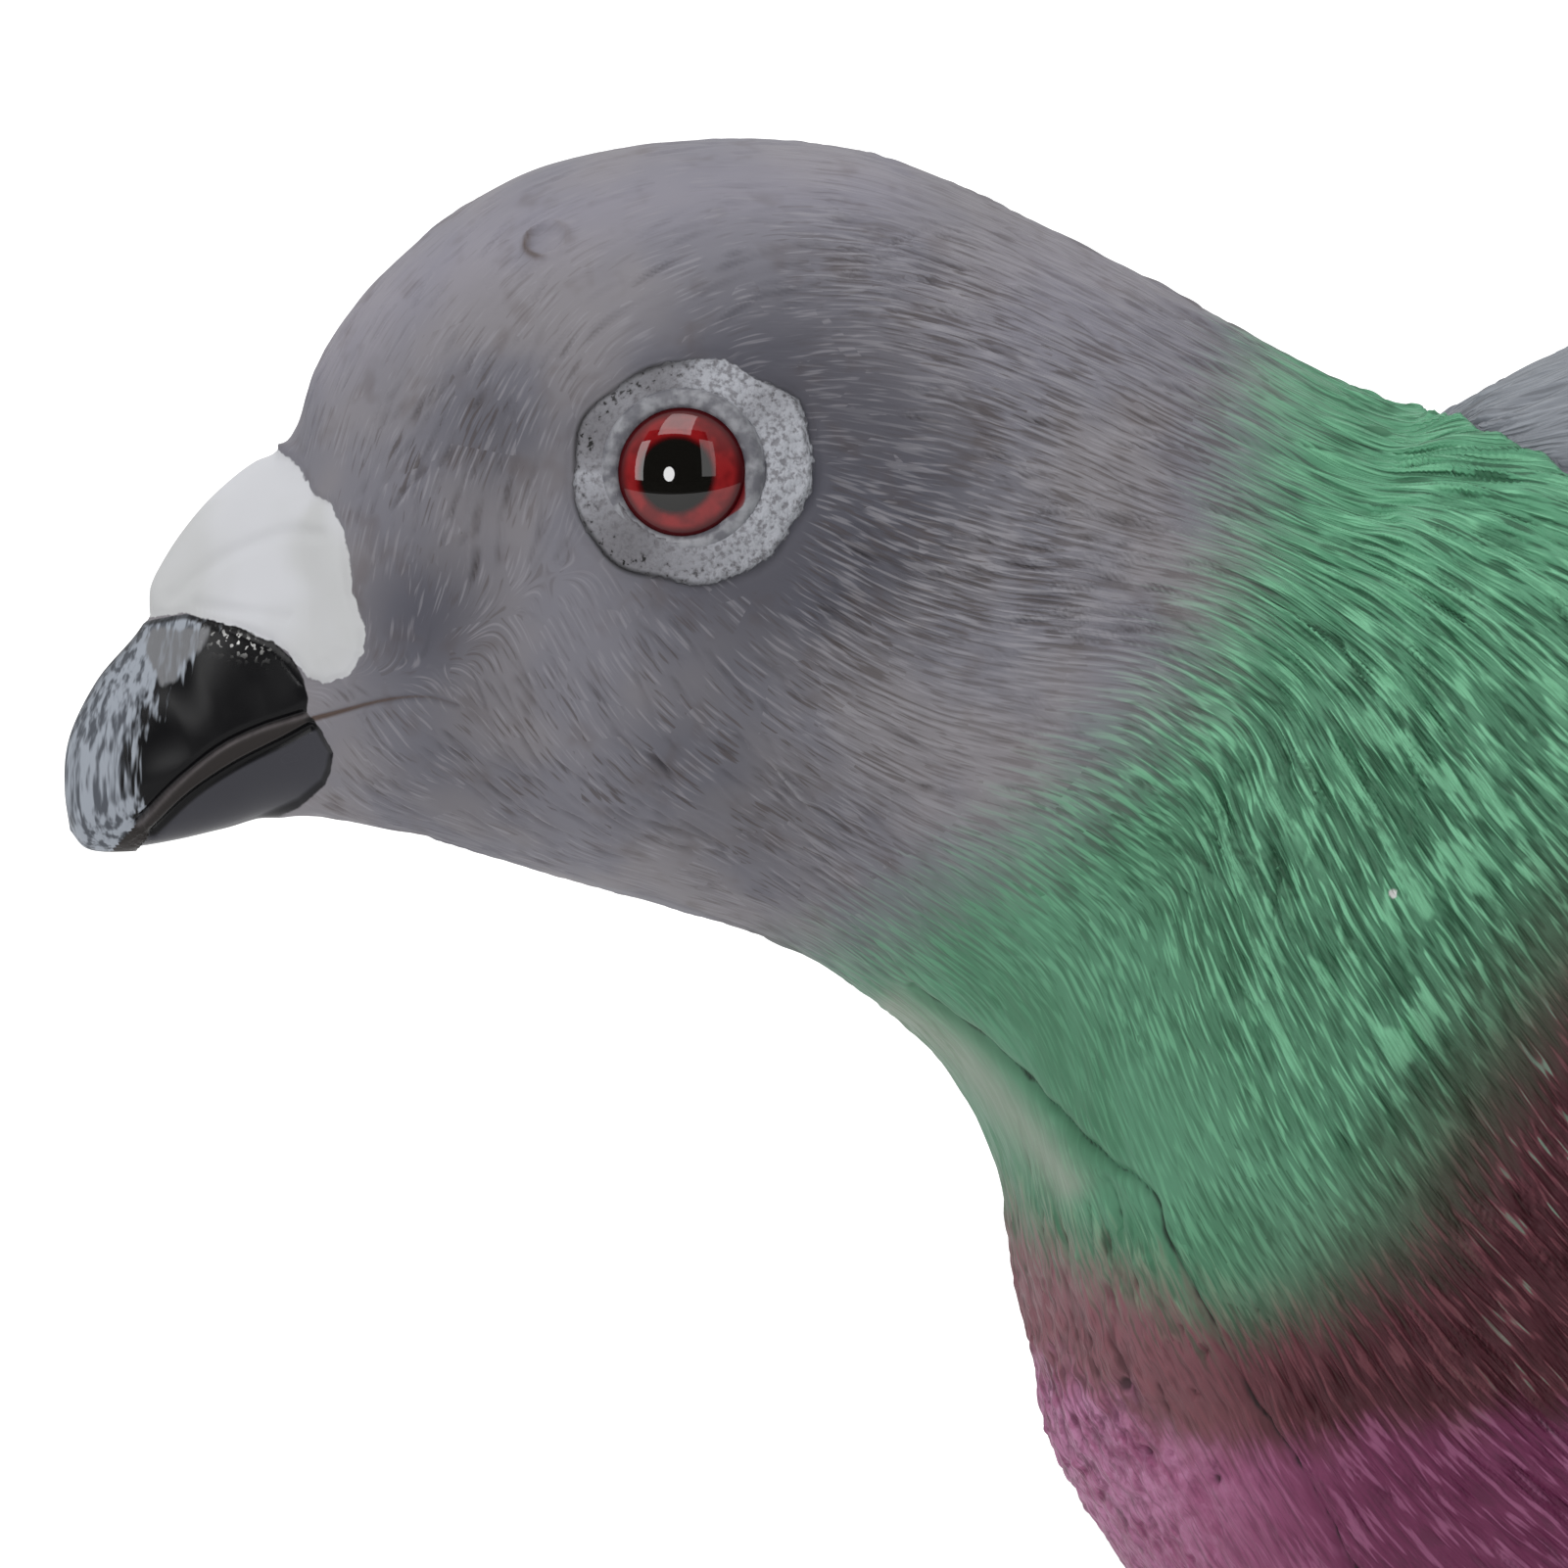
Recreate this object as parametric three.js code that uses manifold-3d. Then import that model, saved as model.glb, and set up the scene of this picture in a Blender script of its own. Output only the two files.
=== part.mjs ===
// A cast resin pigeon's head and neck on a bust that is cut flat below, with two inset glass-like eyes.
// Millimetres. The origin is the centre of the flat underside, +Z is up, and the bill points along -X.
import * as THREE from "three";
import { mergeVertices } from "three/addons/utils/BufferGeometryUtils.js";
import Module from "manifold-3d";

// Sections of the casting from the bill tip to the underside. Each stands across the side view, between a
// point of the crown and one of the throat, as [x, z]. half is its half width, widest is how far up its
// widest place lies, and fullness is 2 for an ellipse, less for a leaner section and more for a squarer one.
const sections = [
  { crown: [-88.7, 48], throat: [-88.7, 48], half: 0, widest: 0.5, fullness: 2 }, // bill tip
  { crown: [-89, 50.3], throat: [-87.8, 47], half: 1.5, widest: 0.45, fullness: 1.9 }, // bill hook
  { crown: [-88.8, 53], throat: [-85.6, 46.8], half: 2.7, widest: 0.4, fullness: 1.8 }, // bill nail
  { crown: [-87.2, 56.4], throat: [-82.8, 47.2], half: 3.6, widest: 0.36, fullness: 1.75 }, // bill arch
  { crown: [-84.6, 59.6], throat: [-79.9, 47.9], half: 4.3, widest: 0.33, fullness: 1.7 }, // front of cere
  { crown: [-83.6, 62.4], throat: [-77.9, 48.5], half: 4.9, widest: 0.32, fullness: 1.7 }, // rise of cere
  { crown: [-80.6, 66.7], throat: [-75.9, 48.8], half: 5.6, widest: 0.31, fullness: 1.75 }, // top of cere
  { crown: [-77, 69.2], throat: [-74.5, 48.8], half: 6.2, widest: 0.33, fullness: 1.8 }, // back of cere
  { crown: [-76, 70.6], throat: [-73.4, 48.6], half: 6.7, widest: 0.35, fullness: 1.85 }, // root of bill
  { crown: [-74.8, 74.2], throat: [-71.5, 48.2], half: 8.4, widest: 0.38, fullness: 1.95 }, // forehead
  { crown: [-71.1, 79.3], throat: [-68.2, 47.6], half: 11.4, widest: 0.42, fullness: 2.05 }, // brow
  { crown: [-63.5, 84.7], throat: [-62.4, 45.9], half: 14.4, widest: 0.45, fullness: 2.1 }, // front of eye
  { crown: [-54.1, 86.7], throat: [-55.2, 43.8], half: 16.2, widest: 0.46, fullness: 2.1 }, // eye
  { crown: [-44.2, 86.1], throat: [-48.6, 41.6], half: 16.8, widest: 0.46, fullness: 2.1 }, // cheek
  { crown: [-34.3, 82.1], throat: [-43.6, 38.5], half: 17.2, widest: 0.46, fullness: 2.1 }, // nape
  { crown: [-24.4, 76.9], throat: [-39.9, 35.2], half: 18.4, widest: 0.46, fullness: 2.15 }, // upper neck
  { crown: [-16.4, 72.7], throat: [-37.6, 31.5], half: 20.6, widest: 0.46, fullness: 2.15 }, // lower neck
  { crown: [-12.9, 71.7], throat: [-36.4, 28.2], half: 22.6, widest: 0.46, fullness: 2.2 }, // notch
  { crown: [-7.9, 74.2], throat: [-35.8, 24.2], half: 25, widest: 0.45, fullness: 2.2 }, // mantle rise
  { crown: [0.9, 76.9], throat: [-34.6, 18.7], half: 27.8, widest: 0.44, fullness: 2.2 }, // mantle
  { crown: [11.3, 75.3], throat: [-33.4, 13.3], half: 29.6, widest: 0.43, fullness: 2.2 }, // back
  { crown: [20.1, 64.9], throat: [-30.9, 9], half: 30.6, widest: 0.42, fullness: 2.2 }, // upper rear
  { crown: [24.5, 45.1], throat: [-28.5, 5.4], half: 31, widest: 0.42, fullness: 2.2 }, // rear
  { crown: [25.6, 21.4], throat: [-26.6, 2.5], half: 31, widest: 0.45, fullness: 2.2 }, // lower rear
  { crown: [25.1, 0], throat: [-25.1, 0], half: 30.6, widest: 0.5, fullness: 2.2 }, // underside
];

// Low rounded forms, each the same on both sides of the head: [x, z] in the side view, radius and height.
const mounds = [
  { centre: [-54.7, 77], radius: 5.5, height: 0.7 }, // brow over the eye
  { centre: [-58.5, 54], radius: 7, height: 0.8 }, // cheek
  { centre: [-44.2, 69.8], radius: 5, height: -0.5 }, // hollow behind the eye
  { centre: [-65.7, 62.1], radius: 3.6, height: -0.6 }, // dent before the eye
  { centre: [16.8, 39.6], radius: 15, height: 2.4 }, // wing shoulder
];

// The mouth runs up from the bill's underside and back to a thin line that ends below the eye.
const mouth = [
  [-83.8, 47.3],
  [-82.7, 49],
  [-80.8, 51.1],
  [-78.3, 52.7],
  [-74.5, 54.1],
  [-70.6, 55.3],
  [-67, 55],
];
const mouthHalfWidth = 0.55;
const mouthDepth = 0.4;

// The neck's plumage ends in a collar that overlaps the mantle behind it.
const notchX = -12.6;
const notchZ = 71.7;
const collarFootX = 14.9;
const collarSweep = 27.5;
const collarPower = 6;
const collarStep = 1.1;
const collarFade = 9;

// Locks of neck plumage: each is two columns of the skin wide and rises towards its tip.
const lockLength = 7;
const lockHeight = 0.45;
const locksFrom = -42;
const locksFull = -30;
const footFade = 4;

// The skin's grid.
const around = 54;
const billSpacing = 1.1;
const bodySpacing = 2.4;
const billEnd = -74;

// Eyes, and the bare rings cast round them.
const eyeX = -54.2;
const eyeZ = 67.9;
const eyeForward = THREE.MathUtils.degToRad(9);
const eyeUp = THREE.MathUtils.degToRad(2);
const eyeRadius = 3.6;
const eyeDome = 1.5;
const eyeRim = 0.25;
const eyeDepth = 2;
const eyeGap = 0.3;
const ringRadius = 6.5;
const ringHeight = 0.55;
const ringShift = 0.4;
const eyeTurns = 24;

const wasm = await Module();
wasm.setup();

const sidePoint = ([x, z]) => new THREE.Vector3(x, 0, z);
const crownLine = new THREE.CatmullRomCurve3(sections.map((s) => sidePoint(s.crown)));
const throatLine = new THREE.CatmullRomCurve3(sections.map((s) => sidePoint(s.throat)));
const girths = new THREE.CatmullRomCurve3(
  sections.map((s) => new THREE.Vector3(s.half, s.widest, s.fullness)),
  false,
  "catmullrom",
  0.5,
);

// 0 below the low end, 1 above the high one, and smooth between.
const ease = (value, low, high) => THREE.MathUtils.smoothstep(value, low, high);

// The signed power that makes a superellipse of a circle.
const rounded = (value, fullness) => Math.sign(value) * Math.abs(value) ** (2 / fullness);

// A point of the plain skin. along runs from 0 at the bill tip to 1 at the underside, and turn is the angle
// round the section from the crown, down the left side to the throat at pi, and up the right side.
function plainPoint(along, turn) {
  const crown = crownLine.getPoint(along);
  const throat = throatLine.getPoint(along);
  const { x: half, y: widest, z: fullness } = girths.getPoint(along);
  const rise = rounded(Math.cos(turn), fullness);
  const level = widest + rise * (rise > 0 ? 1 - widest : widest);
  const point = throat.lerp(crown, level);
  point.y = -half * rounded(Math.sin(turn), fullness);
  return point;
}

// The skin's outward direction, from its slopes along and round.
function outward(along, turn) {
  const step = 0.004;
  const before = Math.max(along - step, 0.001);
  const after = Math.min(along + step, 1);
  const back = plainPoint(after, turn).sub(plainPoint(before, turn));
  const round = plainPoint(along, turn + 10 * step).sub(plainPoint(along, turn - 10 * step));
  return round.cross(back).normalize();
}

// How far a place in the side view is from the mouth's line.
function mouthDistance(place) {
  const nearest = new THREE.Vector2();
  const distances = mouth.slice(1).map((end, i) => {
    const start = new THREE.Vector2(...mouth[i]);
    const run = new THREE.Vector2(...end).sub(start);
    const share = place.clone().sub(start).dot(run) / run.lengthSq();
    nearest.copy(start).addScaledVector(run, THREE.MathUtils.clamp(share, 0, 1));
    return nearest.distanceTo(place);
  });
  return Math.min(...distances);
}

// The x at which the collar's edge stands at a height.
function collarX(z) {
  return Math.max(notchX, collarFootX - collarSweep * (z / notchZ) ** collarPower);
}

// How far the carving stands out of the plain skin at a point: the mounds, the mouth, the collar's step and
// the locks, whose rows are staggered and which fade out before the flat underside.
function carving(point, row, column) {
  const place = new THREE.Vector2(point.x, point.z);
  let height = 0;
  for (const mound of mounds) {
    const distance = place.distanceTo(new THREE.Vector2(...mound.centre));
    height += mound.height * Math.exp(-((distance / mound.radius) ** 2));
  }
  height -= mouthDepth * Math.exp(-((mouthDistance(place) / mouthHalfWidth) ** 2));
  const behind = point.x - collarX(point.z);
  if (behind > 0) {
    height -= collarStep * Math.exp(-behind / collarFade);
  } else {
    const share = row - Math.floor(row);
    const onLock = (column + Math.floor(row)) % 2;
    height += onLock * share * lockHeight * ease(point.x, locksFrom, locksFull);
  }
  return height * ease(point.z, 0, footFade);
}

// Where the rings of the skin lie, closer on the bill than on the body, and the travel down to each.
function ringPlaces() {
  const places = [];
  let travel = 0;
  for (let i = 1; i < sections.length; i++) {
    const [from, to] = [sections[i - 1], sections[i]];
    const crownRun = Math.hypot(to.crown[0] - from.crown[0], to.crown[1] - from.crown[1]);
    const throatRun = Math.hypot(to.throat[0] - from.throat[0], to.throat[1] - from.throat[1]);
    const length = (crownRun + throatRun) / 2;
    const spacing = from.crown[0] < billEnd ? billSpacing : bodySpacing;
    const count = Math.max(1, Math.round(length / spacing));
    for (let k = 1; k <= count; k++) {
      const share = k / count;
      places.push({ along: (i - 1 + share) / (sections.length - 1), travel: travel + share * length });
    }
    travel += length;
  }
  return places;
}

// The casting's skin as one closed grid: the bill tip, the rings, and a flat fan over the underside.
function skin() {
  const places = ringPlaces();
  const positions = [...plainPoint(0, 0).toArray()];
  for (const { along, travel } of places) {
    for (let j = 0; j < around; j++) {
      const turn = (2 * Math.PI * j) / around;
      const point = plainPoint(along, turn);
      const height = carving(point, travel / lockLength, j);
      point.addScaledVector(outward(along, turn), height);
      positions.push(...point.toArray());
    }
  }
  const foot = positions.length / 3;
  positions.push(0, 0, 0);
  const faces = [];
  const lastRing = 1 + (places.length - 1) * around;
  for (let j = 0; j < around; j++) {
    const next = (j + 1) % around;
    faces.push(0, 1 + next, 1 + j);
    faces.push(foot, lastRing + j, lastRing + next);
    for (let i = 0; i < places.length - 1; i++) {
      const ring = 1 + i * around;
      faces.push(ring + j, ring + around + next, ring + around + j);
      faces.push(ring + j, ring + next, ring + around + next);
    }
  }
  const geometry = new THREE.BufferGeometry();
  geometry.setAttribute("position", new THREE.Float32BufferAttribute(positions, 3));
  geometry.setIndex(faces);
  return geometry;
}

// A closed geometry as a solid that can be joined and cut.
function solid(geometry) {
  const bare = geometry.clone();
  bare.deleteAttribute("normal");
  bare.deleteAttribute("uv");
  const merged = mergeVertices(bare, 1e-4);
  return new wasm.Manifold(
    new wasm.Mesh({
      numProp: 3,
      vertProperties: new Float32Array(merged.getAttribute("position").array),
      triVerts: new Uint32Array(merged.index.array),
    }),
  );
}

// A solid as a geometry again.
function geometryOf(body) {
  const { vertProperties, triVerts } = body.getMesh();
  const geometry = new THREE.BufferGeometry();
  geometry.setAttribute("position", new THREE.BufferAttribute(vertProperties, 3));
  geometry.setIndex(new THREE.BufferAttribute(triVerts, 1));
  geometry.computeVertexNormals();
  return geometry;
}

// A turned form about +Y, from [radius, height] pairs that start and end on the axis.
function turned(profile) {
  return new THREE.LatheGeometry(
    profile.map(([radius, height]) => new THREE.Vector2(radius, height)),
    eyeTurns,
  );
}

// How far the plain skin lies from the middle plane at a place in the side view: the nearest grid point's.
function skinDepth(x, z) {
  let best = { distance: Infinity, depth: 0 };
  for (let along = 0.45; along < 0.6; along += 0.002) {
    for (let turn = 0.9; turn < 2.2; turn += 0.01) {
      const point = plainPoint(along, turn);
      const distance = Math.hypot(point.x - x, point.z - z);
      if (distance < best.distance) best = { distance, depth: -point.y };
    }
  }
  return best.depth;
}

// Stands a form that is turned about +Y in the left or right eye's place, its top facing out.
function eyePlacement(side) {
  const facing = new THREE.Vector3(-Math.sin(eyeForward), side * Math.cos(eyeForward), Math.sin(eyeUp));
  const turn = new THREE.Quaternion().setFromUnitVectors(new THREE.Vector3(0, 1, 0), facing.normalize());
  const seat = new THREE.Vector3(eyeX, side * skinDepth(eyeX, eyeZ), eyeZ);
  return new THREE.Matrix4().compose(seat, turn, new THREE.Vector3(1, 1, 1));
}

const ringForm = turned([
  [0, -4],
  [ringRadius - 0.4, -4],
  [ringRadius, -1],
  [ringRadius - 0.1, -0.1],
  [ringRadius - 0.5, 0.75 * ringHeight],
  [ringRadius - 1.3, ringHeight],
  [eyeRadius + 0.9, ringHeight + 0.1],
  [eyeRadius + 0.4, ringHeight],
  [0, ringHeight],
]);
const socketRadius = eyeRadius + eyeGap;
const socketForm = turned([
  [0, -eyeDepth - eyeGap],
  [socketRadius, -eyeDepth - eyeGap],
  [socketRadius, 4],
  [0, 4],
]);

// The glass-like eye: a short drum with a domed front.
function eyeForm() {
  const profile = [
    [0, -eyeDepth],
    [eyeRadius, -eyeDepth],
  ];
  const steps = 6;
  for (let k = 0; k <= steps; k++) {
    const angle = (k / steps) * (Math.PI / 2);
    const radius = k === steps ? 0 : eyeRadius * Math.cos(angle);
    profile.push([radius, eyeRim + (eyeDome - eyeRim) * Math.sin(angle)]);
  }
  return turned(profile);
}

const painted = new THREE.MeshStandardMaterial({ color: 0x74747c, roughness: 0.65, metalness: 0 });
const glossy = new THREE.MeshStandardMaterial({ color: 0xa01c1c, roughness: 0.08, metalness: 0 });

const bustGroup = new THREE.Group();
let casting = solid(skin());
for (const side of [-1, 1]) {
  const placement = eyePlacement(side);
  const ringPlacement = placement.clone().setPosition(
    new THREE.Vector3().setFromMatrixPosition(placement).add(new THREE.Vector3(ringShift, 0, 0)),
  );
  casting = casting.add(solid(ringForm.clone().applyMatrix4(ringPlacement)));
  casting = casting.subtract(solid(socketForm.clone().applyMatrix4(placement)));
  const eye = new THREE.Mesh(eyeForm(), glossy);
  eye.name = side < 0 ? "left_eye" : "right_eye";
  eye.applyMatrix4(placement);
  bustGroup.add(eye);
}
const bust = new THREE.Mesh(geometryOf(casting), painted);
bust.name = "pigeon_bust";
bustGroup.add(bust);

export default bustGroup;
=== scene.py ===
import math

import bmesh
import bpy
import numpy as np
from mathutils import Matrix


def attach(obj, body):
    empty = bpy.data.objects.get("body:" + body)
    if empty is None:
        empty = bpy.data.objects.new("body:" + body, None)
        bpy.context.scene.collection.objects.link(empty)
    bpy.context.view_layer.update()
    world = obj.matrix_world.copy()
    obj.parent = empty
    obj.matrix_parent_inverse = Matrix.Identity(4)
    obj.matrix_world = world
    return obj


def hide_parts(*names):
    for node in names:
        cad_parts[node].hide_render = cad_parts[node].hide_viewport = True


# A cast resin pigeon's head and neck, painted by hand, with two inset glossy eyes.
# Shapes are worked out in millimetres in the frame's own axes: the bill points along -X, +Z is up.
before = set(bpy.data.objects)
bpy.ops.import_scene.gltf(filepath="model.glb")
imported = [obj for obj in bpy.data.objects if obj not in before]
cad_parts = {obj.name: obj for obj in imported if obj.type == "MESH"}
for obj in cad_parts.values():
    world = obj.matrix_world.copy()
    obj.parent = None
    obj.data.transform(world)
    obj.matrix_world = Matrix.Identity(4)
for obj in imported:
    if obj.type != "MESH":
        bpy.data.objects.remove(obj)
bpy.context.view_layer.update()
millimetre = 0.001
print("frame loaded")


def ease(value, low, high):
    # 0 below the low end, 1 above the high one, and an S curve between them
    share = np.clip((value - low) / (high - low), 0, 1)
    return share * share * (3 - 2 * share)


def bump(distance, width):
    # a rounded hill of height 1: e to the minus square of distance over width
    return np.exp(-((distance / width) ** 2))


def softNoise(points, size, seed):
    # random numbers from -1 to 1 on the corners of a lattice that repeats, eased between them
    count, shift = 40, 500
    lattice = np.random.default_rng(seed).uniform(-1, 1, (count, count, count))
    place = points / size + shift
    cell = np.floor(place).astype(int)
    part = place - cell
    part = part * part * (3 - 2 * part)
    total = np.zeros(points.shape[:-1])
    for corner in np.ndindex(2, 2, 2):
        weight = np.prod(np.where(corner, part, 1 - part), axis=-1)
        index = (cell + corner) % count
        total += weight * lattice[index[..., 0], index[..., 1], index[..., 2]]
    return total


# The casting's sections, from the bill tip to the flat underside
skinForm = {
    # crown x and z, throat x and z, half width, level of the widest place, fullness of the section
    "sections": [
        (-88.7, 48, -88.7, 48, 0, 0.5, 2),  # bill tip
        (-89, 50.3, -87.8, 47, 1.5, 0.45, 1.9),
        (-88.8, 53, -85.6, 46.8, 2.7, 0.4, 1.8),
        (-87.2, 56.4, -82.8, 47.2, 3.6, 0.36, 1.75),
        (-84.6, 59.6, -79.9, 47.9, 4.3, 0.33, 1.7),  # front of cere
        (-83.6, 62.4, -77.9, 48.5, 4.9, 0.32, 1.7),
        (-80.6, 66.7, -75.9, 48.8, 5.6, 0.31, 1.75),
        (-77, 69.2, -74.5, 48.8, 6.2, 0.33, 1.8),
        (-76, 70.6, -73.4, 48.6, 6.7, 0.35, 1.85),  # root of bill
        (-74.8, 74.2, -71.5, 48.2, 8.4, 0.38, 1.95),
        (-71.1, 79.3, -68.2, 47.6, 11.4, 0.42, 2.05),
        (-63.5, 84.7, -62.4, 45.9, 14.4, 0.45, 2.1),
        (-54.1, 86.7, -55.2, 43.8, 16.2, 0.46, 2.1),  # eye
        (-44.2, 86.1, -48.6, 41.6, 16.8, 0.46, 2.1),
        (-34.3, 82.1, -43.6, 38.5, 17.2, 0.46, 2.1),  # nape
        (-24.4, 76.9, -39.9, 35.2, 18.4, 0.46, 2.15),
        (-16.4, 72.7, -37.6, 31.5, 20.6, 0.46, 2.15),
        (-12.9, 71.7, -36.4, 28.2, 22.6, 0.46, 2.2),  # notch before the mantle
        (-7.9, 74.2, -35.8, 24.2, 25, 0.45, 2.2),
        (0.9, 76.9, -34.6, 18.7, 27.8, 0.44, 2.2),
        (11.3, 75.3, -33.4, 13.3, 29.6, 0.43, 2.2),
        (20.1, 64.9, -30.9, 9, 30.6, 0.42, 2.2),
        (24.5, 45.1, -28.5, 5.4, 31, 0.42, 2.2),
        (25.6, 21.4, -26.6, 2.5, 31, 0.45, 2.2),
        (25.1, 0, -25.1, 0, 30.6, 0.5, 2.2),  # underside
    ],
    "columns": 640,
    "flankGather": 0.1,  # draws the columns towards the flanks, where the carving is finest
    # piece, its first and last section, and the spacing of its rows
    "pieces": [
        ("bill_and_cere", 0, 8, 0.25),
        ("face", 8, 11, 0.17),
        ("head", 11, 14, 0.185),
        ("neck", 14, 18, 0.18),
        ("breast_and_mantle", 18, 21, 0.26),
        ("base", 21, 24, 0.34),
    ],
}


def throughPoints(points, along, evenly):
    # A Catmull-Rom curve through the points at shares along from 0 to 1, with its ends carried on straight.
    # Evenly, all spans count the same. If not, each counts by the root of its length.
    padded = np.vstack([2 * points[0] - points[1], points, 2 * points[-1] - points[-2]])
    place = along * (len(points) - 1)
    span = np.minimum(place.astype(int), len(points) - 2)
    share = (place - span)[:, None]
    before, start, end, after = (padded[span + k] for k in range(4))
    if evenly:
        leave, reach = (end - before) / 2, (after - start) / 2
    else:
        knot = lambda a, b: np.sum((a - b) ** 2, axis=1, keepdims=True) ** 0.25
        middle = knot(start, end)
        middle = np.where(middle < 1e-4, 1, middle)
        first, last = knot(before, start), knot(end, after)
        first = np.where(first < 1e-4, middle, first)
        last = np.where(last < 1e-4, middle, last)
        across = (end - start) / middle
        leave = ((start - before) / first - (end - before) / (first + middle) + across) * middle
        reach = (across - (after - start) / (middle + last) + (after - end) / last) * middle
    return (
        start
        + leave * share
        + (3 * (end - start) - 2 * leave - reach) * share**2
        + (2 * (start - end) + leave + reach) * share**3
    )


def plainSkin(along, turn):
    # A row for each share along and a column for each turn, from the crown down the left side to the throat
    # at pi and up the right side. Each section is an ellipse made squarer or sharper by its own fullness.
    sections = np.array(skinForm["sections"], float)
    crown = throughPoints(sections[:, :2], along, False)[:, None]
    throat = throughPoints(sections[:, 2:4], along, False)[:, None]
    half, widest, fullness = throughPoints(sections[:, 4:], along, True).T[..., None]
    power = 2 / fullness
    rise = np.sign(np.cos(turn)) * np.abs(np.cos(turn)) ** power
    level = widest + rise * np.where(rise > 0, 1 - widest, widest)
    side = throat + (crown - throat) * level[..., None]
    outward = -half * np.sign(np.sin(turn)) * np.abs(np.sin(turn)) ** power
    return np.stack([side[..., 0], outward, side[..., 1]], axis=-1)


def rowPlaces():
    # even shares of each span between sections, as many as the mean travel of crown and throat asks for
    sections = np.array(skinForm["sections"], float)
    runs = [np.hypot(*np.diff(sections[:, k : k + 2], axis=0).T) for k in (0, 2)]
    travel = (runs[0] + runs[1]) / 2
    along, ends = [], []
    for name, first, last, spacing in skinForm["pieces"]:
        for span in range(first, last):
            count = max(1, round(travel[span] / spacing))
            along.extend((span + (np.arange(count) + 1) / count) / (len(sections) - 1))
        ends.append(len(along) - 1)
    return np.array(along), ends


def steps(grid):
    # the travel per row and per column at each vertex, half the way between its neighbours
    back = np.gradient(grid, axis=0)
    around = (np.roll(grid, -1, axis=1) - np.roll(grid, 1, axis=1)) / 2
    return back, around


def unit(vectors):
    return vectors / np.maximum(np.linalg.norm(vectors, axis=-1, keepdims=True), 1e-12)


def dot(a, b):
    return np.sum(a * b, axis=-1)


def segmentDistance(start, end, x, z):
    # distance from a straight run in the side view, and how far to its left
    run = np.subtract(end, start)
    share = np.clip(((x - start[0]) * run[0] + (z - start[1]) * run[1]) / np.dot(run, run), 0, 1)
    aside = (run[0] * (z - start[1]) - run[1] * (x - start[0])) / np.hypot(*run)
    return np.hypot(x - start[0] - share * run[0], z - start[1] - share * run[1]), aside


def lineDistance(points, x, z):
    # the least distance from a line's runs, above 0 to the left of it and below 0 to the right
    least = np.full(x.shape, np.inf)
    signed = np.zeros(x.shape)
    for start, end in zip(points[:-1], points[1:]):
        distance, aside = segmentDistance(start, end, x, z)
        nearer = distance < least
        least = np.where(nearer, distance, least)
        signed = np.where(nearer, np.copysign(distance, aside), signed)
    return signed


def outlineDistance(corners, x, z):
    # the least distance from a closed outline's sides, below 0 inside, where a ray to the right crosses an
    # odd number of sides
    least = np.full(x.shape, np.inf)
    inside = np.zeros(x.shape, bool)
    for start, end in zip(corners, corners[1:] + corners[:1]):
        least = np.minimum(least, segmentDistance(start, end, x, z)[0])
        if start[1] != end[1]:
            crossing = start[0] + (z - start[1]) * (end[0] - start[0]) / (end[1] - start[1])
            inside ^= ((start[1] > z) != (end[1] > z)) & (x < crossing)
    return np.where(inside, -least, least)


along, pieceEnds = rowPlaces()
evenTurn = np.arange(skinForm["columns"]) * 2 * math.pi / skinForm["columns"]
turn = evenTurn + skinForm["flankGather"] * np.sin(2 * evenTurn)
plain = plainSkin(along, turn)
tip = plainSkin(np.zeros(1), np.zeros(1))[0, 0]
backStep, aroundStep = steps(plain)
plainNormal = unit(np.cross(aroundStep, backStep))
x, z = plain[..., 0], plain[..., 2]
sideMark = np.where(plain[..., 1] < 0, 1.0, -1.0)
print("plain skin:", plain.shape)


def layeredNoise(*layers):
    # soft noises over the skin, each of its own height, size and seed, added up
    return sum(high * softNoise(plain, size, seed) for high, size, seed in layers)


def patch(middleX, middleZ, size, stretch=1.0):
    # a rounded spot in the side view, which may be stretched along X
    return bump(np.hypot((x - middleX) / stretch, z - middleZ), size)


# Eyes, as they stand in the frame
eyeForm = {
    "x": -54.2,
    "z": 67.9,
    "forward": math.radians(9),
    "up": math.radians(2),
    "radius": 3.6,
    "dome": 1.5,
    "rim": 0.25,
    "depth": 2.0,
    "ringShift": 0.38,
    "ringRadius": 6.2,
    "ringStretch": 1.08,  # its length along the head over its height
    "ringWaves": [(0.12, 5, 1), (0.09, 9, 2.4)],  # height, waves all round, phase
    "ringTail": (0.6, 0.62, 0.3),  # how far the ring reaches out behind the eye, its angle and half width
    "ringRise": 0.72,
    "ringFall": 0.42,
    "ringGroove": 0.16,
    "pit": -1.8,
    "skirt": 0.05,  # how far the dome stands out over the drum
    "pupilShift": (-0.17, -0.2),  # how far the pupil's middle lies behind and above the eye's
    "turns": 96,
    "domePoints": 24,
}
lidForm = {
    "radius": 4.08,
    "halfWidth": 0.62,
    "level": 0.12,
    "halfHeight": 0.72,
    "turns": 128,
    "points": 28,
    "corner": (333, 0.22),  # the red corner's place in degrees, and its half width in radians
}


def eyePlace(side):
    # seat, facing, forward-to-back and upward directions of an eye; side is -1 on the left and 1 on the right
    near = np.argmin((x - eyeForm["x"]) ** 2 + (z - eyeForm["z"]) ** 2 + 1e6 * (sideMark < 0))
    depth = abs(plain.reshape(-1, 3)[near, 1])
    seat = np.array([eyeForm["x"], side * depth, eyeForm["z"]])
    lean = [-math.sin(eyeForm["forward"]), side * math.cos(eyeForm["forward"]), math.sin(eyeForm["up"])]
    facing = unit(np.array(lean))
    rearward = unit(np.cross([0, 0, 1], facing) * -side)
    return seat, facing, rearward, np.cross(rearward, facing) * side


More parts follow.
